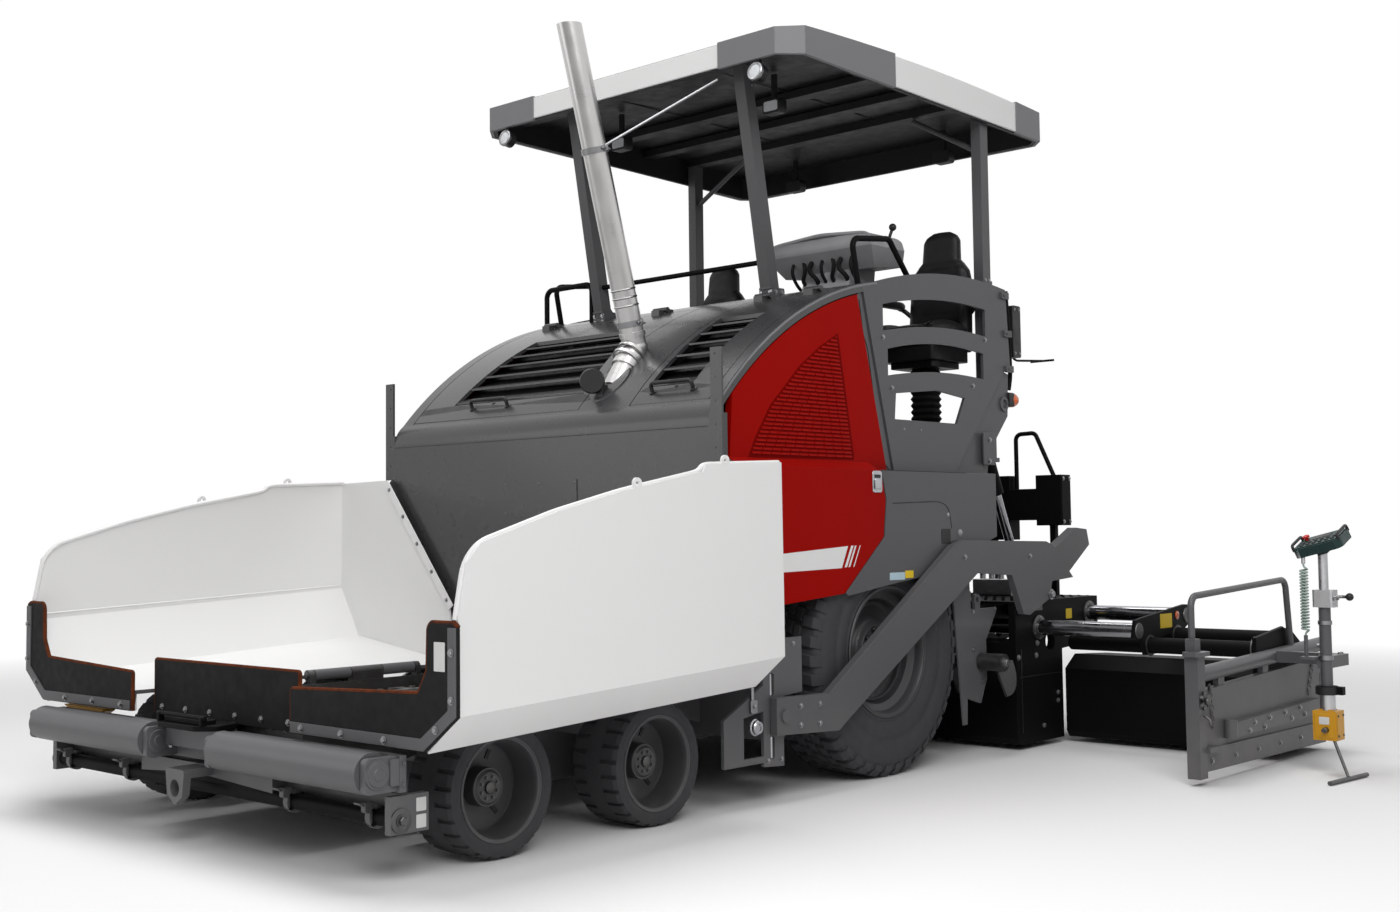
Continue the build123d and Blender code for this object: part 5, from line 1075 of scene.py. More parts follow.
def guide_flanges(side, sign):
    """Flanges, tube ends and collars of the telescoping guides."""
    extension = f"screed_extension_{side}"
    wear, bolts = Shape(sign), Shape(sign)
    for y, z in UPPER_TUBES:
        wear.hoop(FLANGE, (SCREED_OUT, y, z), OUT, 40)
        spots = [round_x((SCREED_OUT + 0.008, y, z), 0, a, 0.063) for a in turns(6, math.pi / 6)]
        bolts.bolts(spots, OUT, 0.005)
    piece(wear, f"upper_flanges_{side}", "screed", DARK_STEEL)
    piece(bolts, f"upper_flange_bolts_{side}", "screed", ZINC)
    outer, ends, rings = Shape(sign), Shape(sign), Shape(sign)
    for y, z in LOWER_TUBES:
        outer.hoop(FLANGE, (2.531, y, z), IN, 40)
        ends.spun([(0, 0.043), (0.006, 0.04), (0.008, 0.02)], (1.42, y, z), IN, 28)
        ends.bolt((1.412, y, z), IN, 0.012)
        rings.hoop(collar(0, 0.007, 0.0475, 0.06), (STAGE_OUT, y, z), OUT, 32)
    for y, z in UPPER_TUBES:
        rings.spun([(0, 0.046), (0.005, 0.044), (0.006, 0.02)], (STAGE_OUT, y, z), OUT, 28)
    piece(outer, f"lower_flanges_{side}", extension, DARK_STEEL)
    piece(ends, f"tube_ends_{side}", extension, DARK_STEEL)
    piece(rings, f"stage_collars_{side}", f"extension_stage_{side}", DARK_STEEL)


def cabinet_lids(side, sign):
    """Lids and bolts of the control cabinets."""
    back = 2.196
    lid = Shape(sign)
    for x0, x1, z0, z1 in ((0.93, 1.11, 1.3, 1.62), (0.74, 0.93, 1.335, 1.535), (0.47, 0.74, 1.21, 1.623)):
        lid.slab((x0 + 0.008, x1 - 0.008), (2.19, back), (z0 + 0.008, z1 - 0.008), "y", 0.012)
        spots = [(x, back, z) for x in (x0 + 0.022, x1 - 0.022) for z in (z0 + 0.022, z1 - 0.022)]
        lid.bolts(spots, BACK, 0.007)
    lid.slab((1.11, 1.114), (2.076, 2.184), (1.308, 1.612), "x", 0.012)
    piece(lid, f"cabinet_lids_{side}", "screed", BLACK_PAINT, round_edges=0.0015)
    screws = Shape(sign).bolts([(1.114, y, z) for y in (2.092, 2.168) for z in (1.324, 1.596)], OUT, 0.009)
    piece(screws, f"cabinet_bolts_{side}", "screed", ZINC)


def valve_block(side, sign):
    """Valve block on the walkway."""
    valve = Shape(sign).slab((0.58, 0.86), (1.86, 1.98), (0.862, 0.965), "x", 0.008)
    for x in steps(0.62, 0.82, 4):
        valve.spun([(0, 0.02), (0.05, 0.02), (0.052, 0.014), (0.07, 0.014)], (x, 1.92, 0.965), UP, 16)
        valve.spun([(0, 0.014), (0.03, 0.014), (0.031, 0.009), (0.045, 0.009)], (x, 1.98, 0.915), BACK, 12)
    piece(valve, f"valve_block_{side}", "screed", ALUMINIUM, round_edges=0.002)


def deck_tread(side, sign):
    """Tread plate of the walkway."""
    tread = Shape(sign)
    for row, y in enumerate(steps(1.3, 2.15, 18)):
        shift = 0.03 * (row % 2)
        for x in steps(0.06 + shift, 1.2 + shift, 20):
            tread.lozenge((x, y, DECK_Z), (0.014, 0.003), (0.009, 0.0015), 0.0025)
    piece(tread, f"deck_tread_{side}", "screed", BLACK_PAINT)


def screed_marks(side, sign):
    """Seams of the screed, reflectors and rear bolts."""
    seam = Shape(sign).box((1.2748, 1.276), (1.262, 1.268), (0.1, 0.58))
    seam.box((1.2748, 1.276), (1.24, 1.7), (0.418, 0.423))
    piece(seam, f"screed_seams_{side}", "screed", DARK_STEEL)
    disc = Shape(sign).spun([(0, 0.024), (0.003, 0.024), (0.005, 0.02), (0.0055, 0.008)],
                            (STAGE_OUT, 1.951, 0.766), OUT, 32)
    piece(disc, f"reflector_{side}", f"extension_stage_{side}", AMBER)
    rear = Shape(sign).bolts([(x, 2.36, 0.2) for x in steps(1.35, 2.45, 6)], BACK, 0.011)
    piece(rear, f"extension_bolts_{side}", f"screed_extension_{side}", ZINC)


def screed_labels():
    """Blank labels of the left guide."""
    label = Shape().slab((STAGE_OUT, STAGE_OUT + 0.001), (1.733, 1.882), (0.7, 0.782), "x", 0.004)
    piece(label, "stage_label", "extension_stage_left", LABEL_YELLOW)
    label = Shape().slab((SCREED_OUT, SCREED_OUT + 0.001), (1.795, 1.865), (0.735, 0.795), "x", 0.004)
    piece(label, "screed_label", "screed", LABEL_YELLOW)


# ---------------------------------------------------------------- end gates and levelling gear
GATE_OUT, CHANNEL_OUT = 2.6, 2.638


def gate_bolts(side, sign):
    """Bolts along the end gates' channels."""
    upper = ((1.292, 0.26), (1.488, 0.267), (1.69, 0.275), (1.899, 0.283))
    lower = ((1.224, 0.225), (1.417, 0.225), (1.781, 0.235), (1.965, 0.24))
    screws = Shape(sign).bolts([(CHANNEL_OUT, y, z) for y, z in upper + lower], OUT, 0.011)
    piece(screws, f"gate_bolts_{side}", f"screed_extension_{side}", ZINC)


def gate_chains(side, sign):
    """Short chains of the end gates, seven links each."""
    hooks = Shape(sign)
    for top, foot in (((0.835, 0.475), (0.855, 0.272)), ((2.176, 0.498), (2.11, 0.335))):
        hooks.bolt((GATE_OUT, *top), OUT, 0.013)
        for k in range(7):
            t = (k + 0.5) / 7
            y, z = top[0] + (foot[0] - top[0]) * t, top[1] + (foot[1] - top[1]) * t
            tilt = 0.006 if k % 2 else 0.0
            ring = [(2.606 + tilt * math.cos(a), y + 0.008 * math.cos(a), z + 0.017 * math.sin(a))
                    for a in turns(12)]
            hooks.tube(ring, 0.003, 6, closed=True)
    piece(hooks, f"gate_chains_{side}", f"screed_extension_{side}", DARK_STEEL)


def gate_star(side, sign):
    """Star nut of the post, welds and skid bolts."""
    body = f"screed_extension_{side}"
    star = Shape(sign)
    for angle in turns(6, 0.5)[:3]:
        y, z = 0.046 * math.cos(angle), 0.046 * math.sin(angle)
        star.tube([(2.637, 0.7 - y, 0.42 - z), (2.637, 0.7 + y, 0.42 + z)], 0.01, 10)
    star.spun([(0, 0.02), (0.01, 0.02), (0.014, 0.012)], (2.65, 0.7, 0.42), OUT, 16)
    star.tube([(2.63, 0.7, 0.35), (2.66, 0.7, 0.33), (2.668, 0.7, 0.3)], 0.007, 8)
    piece(star, f"post_star_{side}", body, DARK_STEEL, round_edges=0.002)
    seams = Shape(sign)
    for y in (0.78, 2.3):
        seams.tube([(GATE_OUT, y, 0.19), (GATE_OUT, y, 0.44)], 0.004, 6)
    piece(seams, f"gate_welds_{side}", body, ARM_PAINT)
    shoe = Shape(sign).bolts([(2.612, y, 0.11) for y in steps(0.82, 2.25, 6)], OUT, 0.01)
    piece(shoe, f"skid_bolts_{side}", body, ZINC)


POLE_X, POLE_Y = 2.96, 1.45
CORD_X, CORD_Y, CORD_LOW, CORD_TOP = 2.878, 1.4, 0.715, 1.085
PANEL = (Matrix.Translation((POLE_X, POLE_Y, 1.19)) @ Matrix.Rotation(math.radians(20), 4, "X")
         @ Matrix.Rotation(math.radians(-15), 4, "Y"))


def control_panel(side, sign):
    """Control panel with its keys, stop button and guard."""
    body = f"screed_extension_{side}"
    top = Shape(sign, PANEL).slab((-0.118, 0.118), (-0.078, 0.078), (0.024, 0.028), "z", 0.022)
    piece(top, f"panel_face_{side}", body, DARK_GREEN, round_edges=0.001)
    keys = Shape(sign, PANEL)
    for x in steps(-0.085, 0.085, 6):
        for y in (-0.05, -0.018):
            keys.spun([(0, 0.01), (0.004, 0.01), (0.006, 0.007)], (x, y, 0.028), UP, 16)
    keys.slab((-0.05, 0.05), (0.012, 0.062), (0.028, 0.03), "z", 0.006)
    piece(keys, f"panel_keys_{side}", body, BLACK_PLASTIC)
    stop = [(0, 0.012), (0.012, 0.012), (0.013, 0.019), (0.022, 0.018), (0.026, 0.01)]
    button = Shape(sign, PANEL).spun(stop, (-0.086, 0.04, 0.028), UP, 24)
    piece(button, f"panel_stop_{side}", body, RED_BUTTON)
    guard = Shape(sign, PANEL)
    for x in (-0.124, 0.124):
        bow = [(x, -0.07, 0.012), (x, -0.07, 0.046), (x, 0.07, 0.046), (x, 0.07, 0.012)]
        guard.tube(eased(bow, 0.018, False), 0.008, 10)
    guard.slab((-0.03, 0.03), (-0.05, 0.05), (-0.045, -0.02), "z", 0.012)
    piece(guard, f"panel_guard_{side}", body, BLACK_PLASTIC, round_edges=0.002)


def pole_parts(side, sign):
    """Collars and clamp screws of the pole."""
    parts = Shape(sign)
    for z, half, outer in ((0.6, 0.012, 0.037), (0.78, 0.01, 0.035)):
        parts.hoop(collar(-half, half, 0.0305, outer), (POLE_X, POLE_Y, z), UP, 28)
    parts.bolts([(POLE_X - 0.01, POLE_Y + y, 0.605) for y in (0.215, 0.245)], UP, 0.009)
    parts.bolts([(POLE_X + 0.06, POLE_Y + y, 0.905) for y in (-0.028, 0.028)], OUT, 0.007)
    parts.tube([(POLE_X - 0.045, POLE_Y, 0.66), (POLE_X - 0.03, POLE_Y, 0.66)], 0.01, 10)
    piece(parts, f"pole_collars_{side}", f"screed_extension_{side}", ZINC)


def drive_box(side, sign):
    """Covers, studs and drum of the height drive."""
    body = f"screed_extension_{side}"
    front, out = POLE_Y - 0.059, POLE_X + 0.063
    box = Shape(sign)
    box.slab((POLE_X - 0.05, POLE_X + 0.05), (front, POLE_Y - 0.054), (0.192, 0.318), "y", 0.01)
    box.slab((POLE_X + 0.059, out), (POLE_Y - 0.045, POLE_Y + 0.045), (0.192, 0.318), "x", 0.01)
    box.slab((POLE_X - 0.036, POLE_X + 0.036), (POLE_Y - 0.036, POLE_Y + 0.036), (0.328, 0.336), "z", 0.008)
    piece(box, f"drive_box_{side}", body, YELLOW, round_edges=0.002)
    spots = [(out, POLE_Y + y, z) for y in (-0.034, 0.034) for z in (0.204, 0.306)]
    studs = Shape(sign).bolts(spots, OUT, 0.005)
    socket = [(0, 0.014), (0.03, 0.014), (0.032, 0.01), (0.046, 0.01)]
    studs.spun(socket, (POLE_X + 0.01, front, 0.235), AHEAD, 16)
    piece(studs, f"drive_studs_{side}", body, DARK_STEEL)
    drum = Shape(sign).hoop(collar(-0.02, 0.02, 0.05, 0.058), (POLE_X, POLE_Y, 0.432), UP, 36)
    piece(drum, f"pole_drum_{side}", body, BLACK_PLASTIC)


def drive_label():
    """Blank label of the left height drive."""
    label = Shape().slab((POLE_X - 0.026, POLE_X + 0.026), (POLE_Y - 0.0598, POLE_Y - 0.059), (0.262, 0.3),
                         "y", 0.003)
    piece(label, "drive_label", "screed_extension_left", LABEL)


COIL_TURNS, COIL_POINTS, COIL_RADIUS, CORD_DIAMETER = 20, 12, 0.0185, 0.01


def curly_cord():
    """The panel's curly cord, from under the panel to the shelf of the gear."""
    count = COIL_TURNS * COIL_POINTS
    lead = [(0.0, 0.0, 0.0), (0.0, 0.0, 0.012), (0.55, -0.4, 0.02)]
    points = [(CORD_X + x * COIL_RADIUS, CORD_Y + y * COIL_RADIUS, CORD_TOP - z) for x, y, z in lead]
    for k in range(count + 1):
        angle = 2 * math.pi * k / COIL_POINTS
        z = CORD_TOP - 0.028 - (CORD_TOP - CORD_LOW - 0.056) * k / count
        points.append((CORD_X + COIL_RADIUS * math.cos(angle), CORD_Y + COIL_RADIUS * math.sin(angle), z))
    points += [(CORD_X + x * COIL_RADIUS, CORD_Y - y * COIL_RADIUS, CORD_LOW + z)
               for x, y, z in reversed(lead)]
    data = bpy.data.curves.new("curly_cord", "CURVE")
    data.dimensions = "3D"
    data.bevel_depth, data.bevel_resolution, data.use_fill_caps = CORD_DIAMETER / 2, 3, True
    data.resolution_u = 3
    spline = data.splines.new("NURBS")
    spline.points.add(len(points) - 1)
    for spot, point in zip(spline.points, points):
        spot.co = (*at(*point), 1)
    spline.order_u = 3
    spline.use_endpoint_u = True
    data.materials.append(CORD_JACKET)
    cord = bpy.data.objects.new("curly_cord", data)
    bpy.context.scene.collection.objects.link(cord)
    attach(cord, "screed_extension_left")
    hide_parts("panel_cord")


# ---------------------------------------------------------------- operator's stand
FLOOR_Z = 1.7
SEAT_OUT = 0.87


def seat_cushion(x):
    """Crowned sitting pad with side bolsters and three sewn channels."""
    rings = []
    for t in steps(-1, 1, 41):
        pull = 0.8 + 0.2 * (1 - abs(t) ** 7) ** 0.5
        bolster = 0.03 * max(0.0, 1 - abs(abs(t) - 0.83) / 0.17) ** 0.5
        crown = 0.012 * math.cos(t * math.pi / 2)
        edge = max(0.0, 1 - abs(abs(t) - 0.62) / 0.05)
        ring = []
        for a in turns(44):
            c, s = squarish(a, 4)
            y, z = 0.895 + 0.205 * pull * c, 2.408 + 0.058 * pull * s
            if s > 0:
                sewn = sum(max(0.0, 1 - abs(y - line) / 0.01) for line in (0.8, 0.9, 1.0))
                z += (crown + bolster + 0.006 * math.cos((y - 0.895) * 9)) * math.sin(a)
                z -= 0.006 * sewn * (1 if abs(t) < 0.6 else 0) + 0.008 * edge
            ring.append((x + 0.222 * t, y, z))
        rings.append(ring)
    return Shape().loft(rings)


def seat_back(x):
    """Leaning back pad that narrows into its headrest, with bolsters and sewn channels."""
    widths = ((2.4, 0.195), (2.43, 0.212), (2.76, 0.205), (2.82, 0.19), (2.87, 0.15), (2.89, 0.128),
              (3.01, 0.122), (3.045, 0.1), (3.068, 0.055))
    rings = []
    for z in steps(2.402, 3.066, 58):
        wide, lean = between(widths, z), (z - 2.4) / 0.66
        deep = (0.055 - 0.02 * lean) * min(1.0, 0.55 + (z - 2.402) * 22, 0.5 + (3.066 - z) * 14)
        sewn = sum(max(0.0, 1 - abs(z - line) / 0.009) for line in (2.56, 2.66, 2.76, 2.885))
        ring = []
        for a in turns(44):
            c, s = squarish(a, 3.4)
            across, y = wide * c, 1.105 + 0.045 * lean + deep * s
            if s < 0:
                share = abs(across) / wide
                bolster = 0.022 * max(0.0, 1 - abs(share - 0.8) / 0.25) if z < 2.84 else 0.008 * (1 - share)
                y -= bolster * abs(math.sin(a))
                y += 0.006 * sewn * (1 if share < 0.66 else 0.3)
                y += 0.006 * max(0.0, 1 - abs(share - 0.62) / 0.05) * (1 if z < 2.84 else 0)
            ring.append((x + across, y, z))
        rings.append(ring)
    return Shape().loft(rings)


def seat_pads(side, sign):
    """Cushion and back of each seat, with their piping."""
    x = sign * SEAT_OUT
    cushion = piece(seat_cushion(x), f"seat_cushion_{side}", "chassis", VINYL, smooth=60)
    back = piece(seat_back(x), f"seat_back_{side}", "chassis", VINYL, smooth=60)
    if side == "left":
        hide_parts("seats")
    line = [(x - 0.214, 0.7, 2.452), (x - 0.2, 0.694, 2.446), (x + 0.2, 0.694, 2.446),
            (x + 0.214, 0.7, 2.452)]
    piping = Shape().tube(eased(line, 0.02, False), 0.004, 8)
    for s in (-1, 1):
        edge = [(x + s * 0.196, 1.072, 2.44), (x + s * 0.19, 1.085, 2.62), (x + s * 0.18, 1.098, 2.8)]
        piping.tube(edge, 0.004, 8)
    piece(piping, f"seat_piping_{side}", "chassis", PIPING)


def arm_rests(side, sign):
    """Two padded rests at each seat, thinner at their ends."""
    outline = [squarish(a, 3.2) for a in turns(20)]
    for s, hand in ((-1, "inner"), (1, "outer")):
        x = sign * SEAT_OUT + s * 0.26
        rings = []
        for t in steps(0, 1, 14):
            half = 0.025 * min(1.0, 0.5 + 5 * t, 0.5 + 5 * (1 - t))
            rings.append([(x + half * u, 0.772 + 0.334 * t, 2.641 + half * v) for u, v in outline])
        name = f"arm_rest_{side}_{hand}"
        rest = piece(Shape().loft(rings), name, "chassis", VINYL, smooth=60)


def seat_frames(side, sign):
    """Frame under and behind each seat, and its bellows boot."""
    x = sign * SEAT_OUT
    base = Shape()
    base.slab((x - 0.11, x + 0.11), (0.83, 1.06), (FLOOR_Z, 1.72), "z", 0.02)
    base.slab((x - 0.19, x + 0.19), (0.74, 1.12), (2.262, 2.346), "z", 0.03)
    base.slab((x - 0.15, x + 0.15), (0.79, 1.08), (2.225, 2.262), "z", 0.02)
    base.slab((x - 0.17, x + 0.17), (1.17, 1.192), (2.47, 2.84), "y", 0.05)
    for s in (-1, 1):
        base.tube(eased([(x + s * 0.15, 1.15, 2.47), (x + s * 0.19, 1.12, 2.33)], 0.02, False), 0.016, 12)
        arm = [(x + s * 0.2, 1.13, 2.56), (x + s * 0.262, 1.11, 2.62), (x + s * 0.262, 1.06, 2.625)]
        base.tube(eased(arm, 0.03, False), 0.014, 12)
    piece(base, f"seat_frame_{side}", "chassis", BLACK_PLASTIC, round_edges=0.004)
    outline = [squarish(a, 4) for a in turns(24)]
    rings = []
    for k, z in enumerate(steps(1.722, 2.224, 27)):
        half = 0.078 if k % 2 else 0.066
        rings.append([(x + half * u, 0.94 + half * v, z) for u, v in outline])
    piece(Shape().loft(rings), f"seat_boot_{side}", "chassis", RUBBER, smooth=25)


CONSOLE = Matrix.Translation((0.58, 0.628, 2.868)) @ Matrix.Rotation(math.radians(27.4), 4, "X")


def console_panel():
    """Face, screen, keys and stop button of the console."""
    face = Shape(1, CONSOLE).slab((-0.34, 0.34), (-0.002, 0.006), (-0.058, 0.058), "y", 0.02)
    piece(face, "console_face", "chassis", BLACK_PLASTIC, round_edges=0.002)
    glass = Shape(1, CONSOLE).slab((-0.09, 0.09), (0.006, 0.0085), (-0.045, 0.045), "y", 0.006)
    piece(glass, "console_screen", "chassis", SCREEN)
    keys = Shape(1, CONSOLE)
    for x in steps(0.14, 0.31, 5):
        for z in (-0.03, 0.0, 0.03):
            for sign in (1, -1):
                keys.spun([(0, 0.011), (0.005, 0.011), (0.008, 0.007)], (sign * x, 0.006, z), BACK, 16)
    piece(keys, "console_keys", "chassis", CONSOLE_GREY)
    stop = [(0, 0.012), (0.012, 0.012), (0.013, 0.02), (0.022, 0.018), (0.025, 0.01)]
    button = Shape(1, CONSOLE).spun(stop, (-0.115, 0.006, 0.02), BACK, 24)
    piece(button, "console_stop", "chassis", RED_BUTTON)


def console_body():
    """Hood rim, wiring and lever of the console."""
    line = [(0.206, 0.3, 2.925), (0.255, 0.31, 2.958), (0.58, 0.32, 2.985), (0.905, 0.31, 2.958),
            (0.954, 0.3, 2.925)]
    rim = Shape().tube(eased(line, 0.05, False), 0.01, 10)
    piece(rim, "console_rim", "chassis", CONSOLE_GREY)
    wires = Shape()
    for k, x in enumerate(steps(0.37, 0.79, 7)):
        bow = 0.03 * math.sin(2.1 * k)
        line = [(x, 0.345, 2.85), (x + bow, 0.318 + 0.3 * abs(bow), 2.79), (x - bow, 0.36, 2.725),
                (x + bow, 0.44, 2.672)]
        wires.tube(eased(line, 0.05, False, 6), 0.01 + 0.002 * (k % 3), 10)
    piece(wires, "console_harness", "chassis", RUBBER)
    knob = Shape().tube([(0.89, 0.56, 2.945), (0.905, 0.575, 3.005)], 0.009, 10)
    knob.ball((0.908, 0.578, 3.02), 0.022)
    piece(knob, "console_lever", "chassis", BLACK_PLASTIC)


def column_detail(side, sign):
    """Hinge plates, clips, pipes and eyes of the columns, and the rails' feet."""
    plate = Shape(sign).slab((HOOD_OUT, 1.212), (1.013, 1.133), (1.654, 1.841), "x", 0.006)
    piece(plate, f"hinge_plate_{side}", "chassis", BODY_PAINT, round_edges=0.002)
    clamps = Shape(sign)
    for y, z in ((1.289, 2.663), (1.313, 2.437), (1.326, 2.228)):
        clamps.slab((1.196, 1.214), (y - 0.045, y + 0.035), (z - 0.02, z + 0.02), "x", 0.006)
        clamps.bolt((1.214, y - 0.02, z), OUT, 0.007)
    piece(clamps, f"tube_clips_{side}", "chassis", POST_GREY, round_edges=0.002)
    line = [(1.175, 1.36, 2.11), (1.175, 1.385, 2.2), (1.175, 1.37, 2.46), (1.175, 1.35, 2.7)]
    pipe = Shape(sign).tube(eased(line, 0.06, False), 0.014, 12)
    piece(pipe, f"column_pipe_{side}", "chassis", BLACK_PAINT)
    eye = Shape(sign).hoop(collar(0, 0.01, 0.026, 0.044), (1.182, 1.285, 2.02), OUT, 32)
    piece(eye, f"column_eye_{side}", "chassis", BODY_PAINT)
    foot = Shape(sign)
    for y, z in ((-0.09, 2.58), (0.4, 2.66)):
        foot.spun([(0, 0.032), (0.006, 0.032), (0.008, 0.022), (0.016, 0.02)], (1.15, y, z), (0, -0.3, 1), 20)
    piece(foot, f"rail_feet_{side}", "chassis", BLACK_PAINT)


def tail_lamps(side, sign):
    """Tail lamps and their mounts."""
    lamp = Shape(sign).spun([(-0.01, 0.04), (0.0, 0.044), (0.03, 0.043), (0.05, 0.034), (0.058, 0.014)],
                            (1.16, 1.386, 2.051), (0.2, 1, 0), 32)
    piece(lamp, f"tail_lamp_{side}", "chassis", AMBER)
    mount = Shape(sign).slab((1.115, 1.2), (1.33, 1.384), (2.01, 2.092), "y", 0.012)
    piece(mount, f"tail_lamp_mount_{side}", "chassis", BLACK_PLASTIC, round_edges=0.003)


def rear_boxes(side, sign):
    """Boxes behind the columns."""
    case = Shape(sign).slab((1.06, 1.18), (1.42, 1.51), (2.31, 2.624), "x", 0.015)
    for z in (2.58, 2.33):
        case.slab((1.09, 1.15), (1.2, 1.425), (z, z + 0.025), "z", 0.004)
    piece(case, f"rear_box_{side}", "chassis", BLACK_PLASTIC, round_edges=0.004)
    screws = Shape(sign).bolts([(1.18, y, z) for y in (1.44, 1.49) for z in (2.335, 2.6)], OUT, 0.006)
    piece(screws, f"rear_box_bolts_{side}", "chassis", ZINC)


def mirror_rod():
    """Rod behind the left box."""
    line = [(1.13, 1.425, 2.345), (1.13, 1.53, 2.3), (1.13, 1.86, 2.322)]
    rod = Shape().tube(eased(line, 0.02, False), 0.007, 8)
    rod.tube([(1.04, 1.86, 2.322), (1.2, 1.86, 2.322)], 0.007, 8)
    piece(rod, "mirror_rod", "chassis", BLACK_PAINT)


def floor_tread():
    """Tread plate of the operator's floor, left out under the seats."""
    tread = Shape()
    for row, y in enumerate(steps(0.08, 1.26, 22)):
        shift = 0.03 * (row % 2)
        for x in steps(-0.98 + shift, 0.95 + shift, 30):
            if abs(abs(x) - SEAT_OUT) >= 0.15 or not 0.8 < y < 1.09:
                tread.lozenge((x, y, FLOOR_Z), (0.016, 0.0035), (0.01, 0.0015), 0.0028)
    piece(tread, "floor_tread", "chassis", DARK_STEEL)


def both_sides(*draws):
    """Draws the pieces of the left side, then the same of the right."""
    for side, sign in SIDES:
        for draw in draws:
            draw(side, sign)


dress_cad()
tint_nodes()
both_sides(wing_trim, wing_plates)
flap_label()
hopper_trim()
both_sides(roller_ends, tube_clamps)
beam_cover()
front_marks()
both_sides(door_louvres, door_latch, door_stripe)
both_sides(hood_trim)
hood_front()
cover_backing()
both_sides(front_lamps, work_lamps, post_fixings)
canopy_middle()
exhaust_clamps()
exhaust_base()
both_sides(wheels)
side_heads()
both_sides(arm_guides, body_cover, hanger_bolts)
body_labels()
both_sides(guide_flanges, cabinet_lids, valve_block, deck_tread, screed_marks)
screed_labels()
both_sides(gate_bolts, gate_chains, gate_star)
both_sides(control_panel, pole_parts, drive_box)
drive_label()
curly_cord()
both_sides(seat_pads, arm_rests, seat_frames)
console_panel()
console_body()
both_sides(column_detail, tail_lamps, rear_boxes)
mirror_rod()
floor_tread()


# ---------------------------------------------------------------- floor, light and camera
def floor():
    """White ground that takes the shadow and turns plain white far out, where the camera sees it."""
    bpy.ops.mesh.primitive_plane_add(size=120, location=(0, 0, -0.001))
    plane = bpy.context.object
    plane.name = "floor"
    finish = Finish("floor", (0.9, 0.9, 0.9), 0.9)
    tree = finish.tree
    glow = finish.node("ShaderNodeEmission", Color=(1, 1, 1, 1), Strength=1.0)
    length = finish.node("ShaderNodeVectorMath")
    length.operation = "LENGTH"
    finish.link(finish.place, length.inputs[0])
    fade = finish.spread(length.outputs["Value"], 5.5, 11.0)
    path = tree.nodes.new("ShaderNodeLightPath")
    product = finish.node("ShaderNodeMath")
    product.operation = "MULTIPLY"
    finish.link(fade, product.inputs[0])
    finish.link(path.outputs["Is Camera Ray"], product.inputs[1])
    mixed = tree.nodes.new("ShaderNodeMixShader")
    finish.link(product.outputs["Value"], mixed.inputs["Fac"])
    finish.link(finish.shader.outputs["BSDF"], mixed.inputs[1])
    finish.link(glow.outputs["Emission"], mixed.inputs[2])
    finish.link(mixed.outputs["Shader"], tree.nodes["Material Output"].inputs["Surface"])
    plane.data.materials.append(finish.material)


def area_light(name, place, target, size, power):
    """A round soft light that faces a target."""
    data = bpy.data.lights.new(name, "AREA")
    data.shape, data.size, data.energy = "DISK", size, power
    lamp = bpy.data.objects.new(name, data)
    lamp.location = place
    lamp.rotation_euler = (Vector(target) - Vector(place)).to_track_quat("-Z", "Y").to_euler()
    bpy.context.scene.collection.objects.link(lamp)


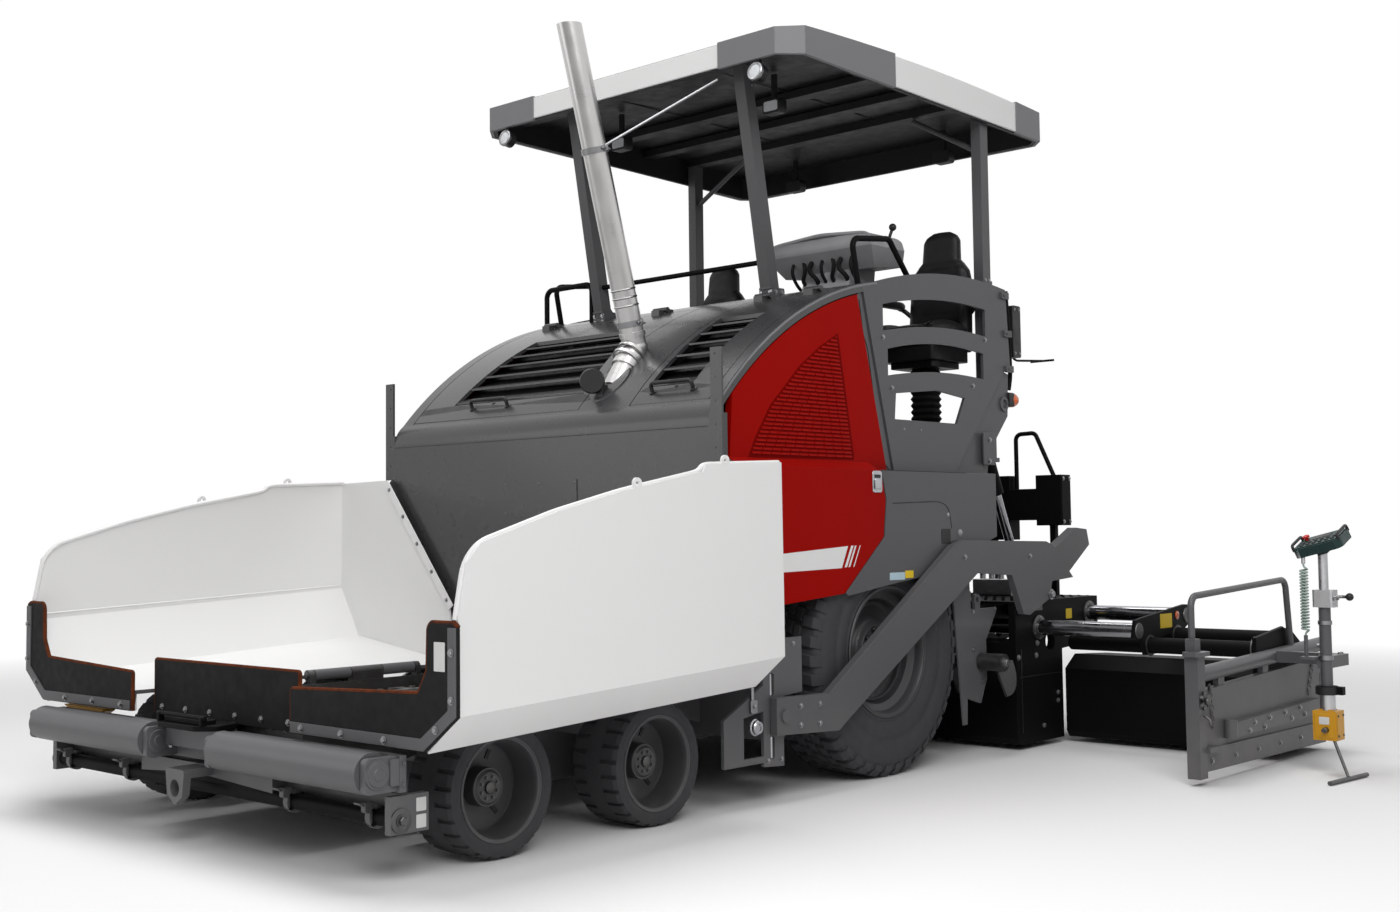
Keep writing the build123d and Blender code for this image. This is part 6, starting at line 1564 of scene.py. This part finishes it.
def light():
    """White surroundings for the camera and mirror rays, dimmer light for the rest, and three lamps."""
    world = bpy.data.worlds.new("world")
    bpy.context.scene.world = world
    world.use_nodes = True
    tree = world.node_tree
    sky = tree.nodes["Background"]
    sky.inputs["Color"].default_value = (1, 1, 1, 1)
    sky.inputs["Strength"].default_value = 0.16
    shown = tree.nodes.new("ShaderNodeBackground")
    shown.inputs["Color"].default_value = (1, 1, 1, 1)
    shown.inputs["Strength"].default_value = 1.0
    path = tree.nodes.new("ShaderNodeLightPath")
    mixed = tree.nodes.new("ShaderNodeMixShader")
    seen = path.outputs["Is Camera Ray"]
    for ray in ("Is Glossy Ray", "Is Transmission Ray"):
        added = tree.nodes.new("ShaderNodeMath")
        added.operation = "MAXIMUM"
        tree.links.new(seen, added.inputs[0])
        tree.links.new(path.outputs[ray], added.inputs[1])
        seen = added.outputs["Value"]
    tree.links.new(seen, mixed.inputs["Fac"])
    tree.links.new(sky.outputs["Background"], mixed.inputs[1])
    tree.links.new(shown.outputs["Background"], mixed.inputs[2])
    tree.links.new(mixed.outputs["Shader"], tree.nodes["World Output"].inputs["Surface"])
    area_light("key", (7.5, -6.0, 8.0), (0, 0, 1.2), 7.0, 660)
    area_light("top", (-1.0, 0.5, 11.0), (0, 0, 1.5), 9.0, 860)
    area_light("fill", (-6.0, -9.0, 4.0), (0, -1, 1.2), 6.0, 110)


CAMERA_PLACE = (6.086, -6.863, 1.297)
CAMERA_YAW, CAMERA_PITCH, CAMERA_ROLL = -0.7432, 0.06, -0.0115
CAMERA_LENS, CAMERA_SHIFT = 40.59, (0.01266, -0.01477)


def camera():
    """Camera low at the front left corner, looking back along the machine."""
    level = math.cos(CAMERA_PITCH)
    ahead = Vector((math.sin(CAMERA_YAW) * level, math.cos(CAMERA_YAW) * level, math.sin(CAMERA_PITCH)))
    right = ahead.cross(Vector(UP)).normalized()
    up = right.cross(ahead)
    c, s = math.cos(CAMERA_ROLL), math.sin(CAMERA_ROLL)
    right, up = c * right + s * up, c * up - s * right
    data = bpy.data.cameras.new("camera")
    data.sensor_fit, data.sensor_width, data.lens = "HORIZONTAL", 36, CAMERA_LENS
    data.shift_x, data.shift_y = CAMERA_SHIFT
    data.clip_end = 200
    eye = bpy.data.objects.new("camera", data)
    turn = Matrix((right, up, -ahead)).transposed().to_4x4()
    eye.matrix_world = Matrix.Translation(at(*CAMERA_PLACE)) @ turn
    bpy.context.scene.collection.objects.link(eye)
    bpy.context.scene.camera = eye


floor()
light()
camera()
bpy.context.scene.view_settings.view_transform = "Standard"
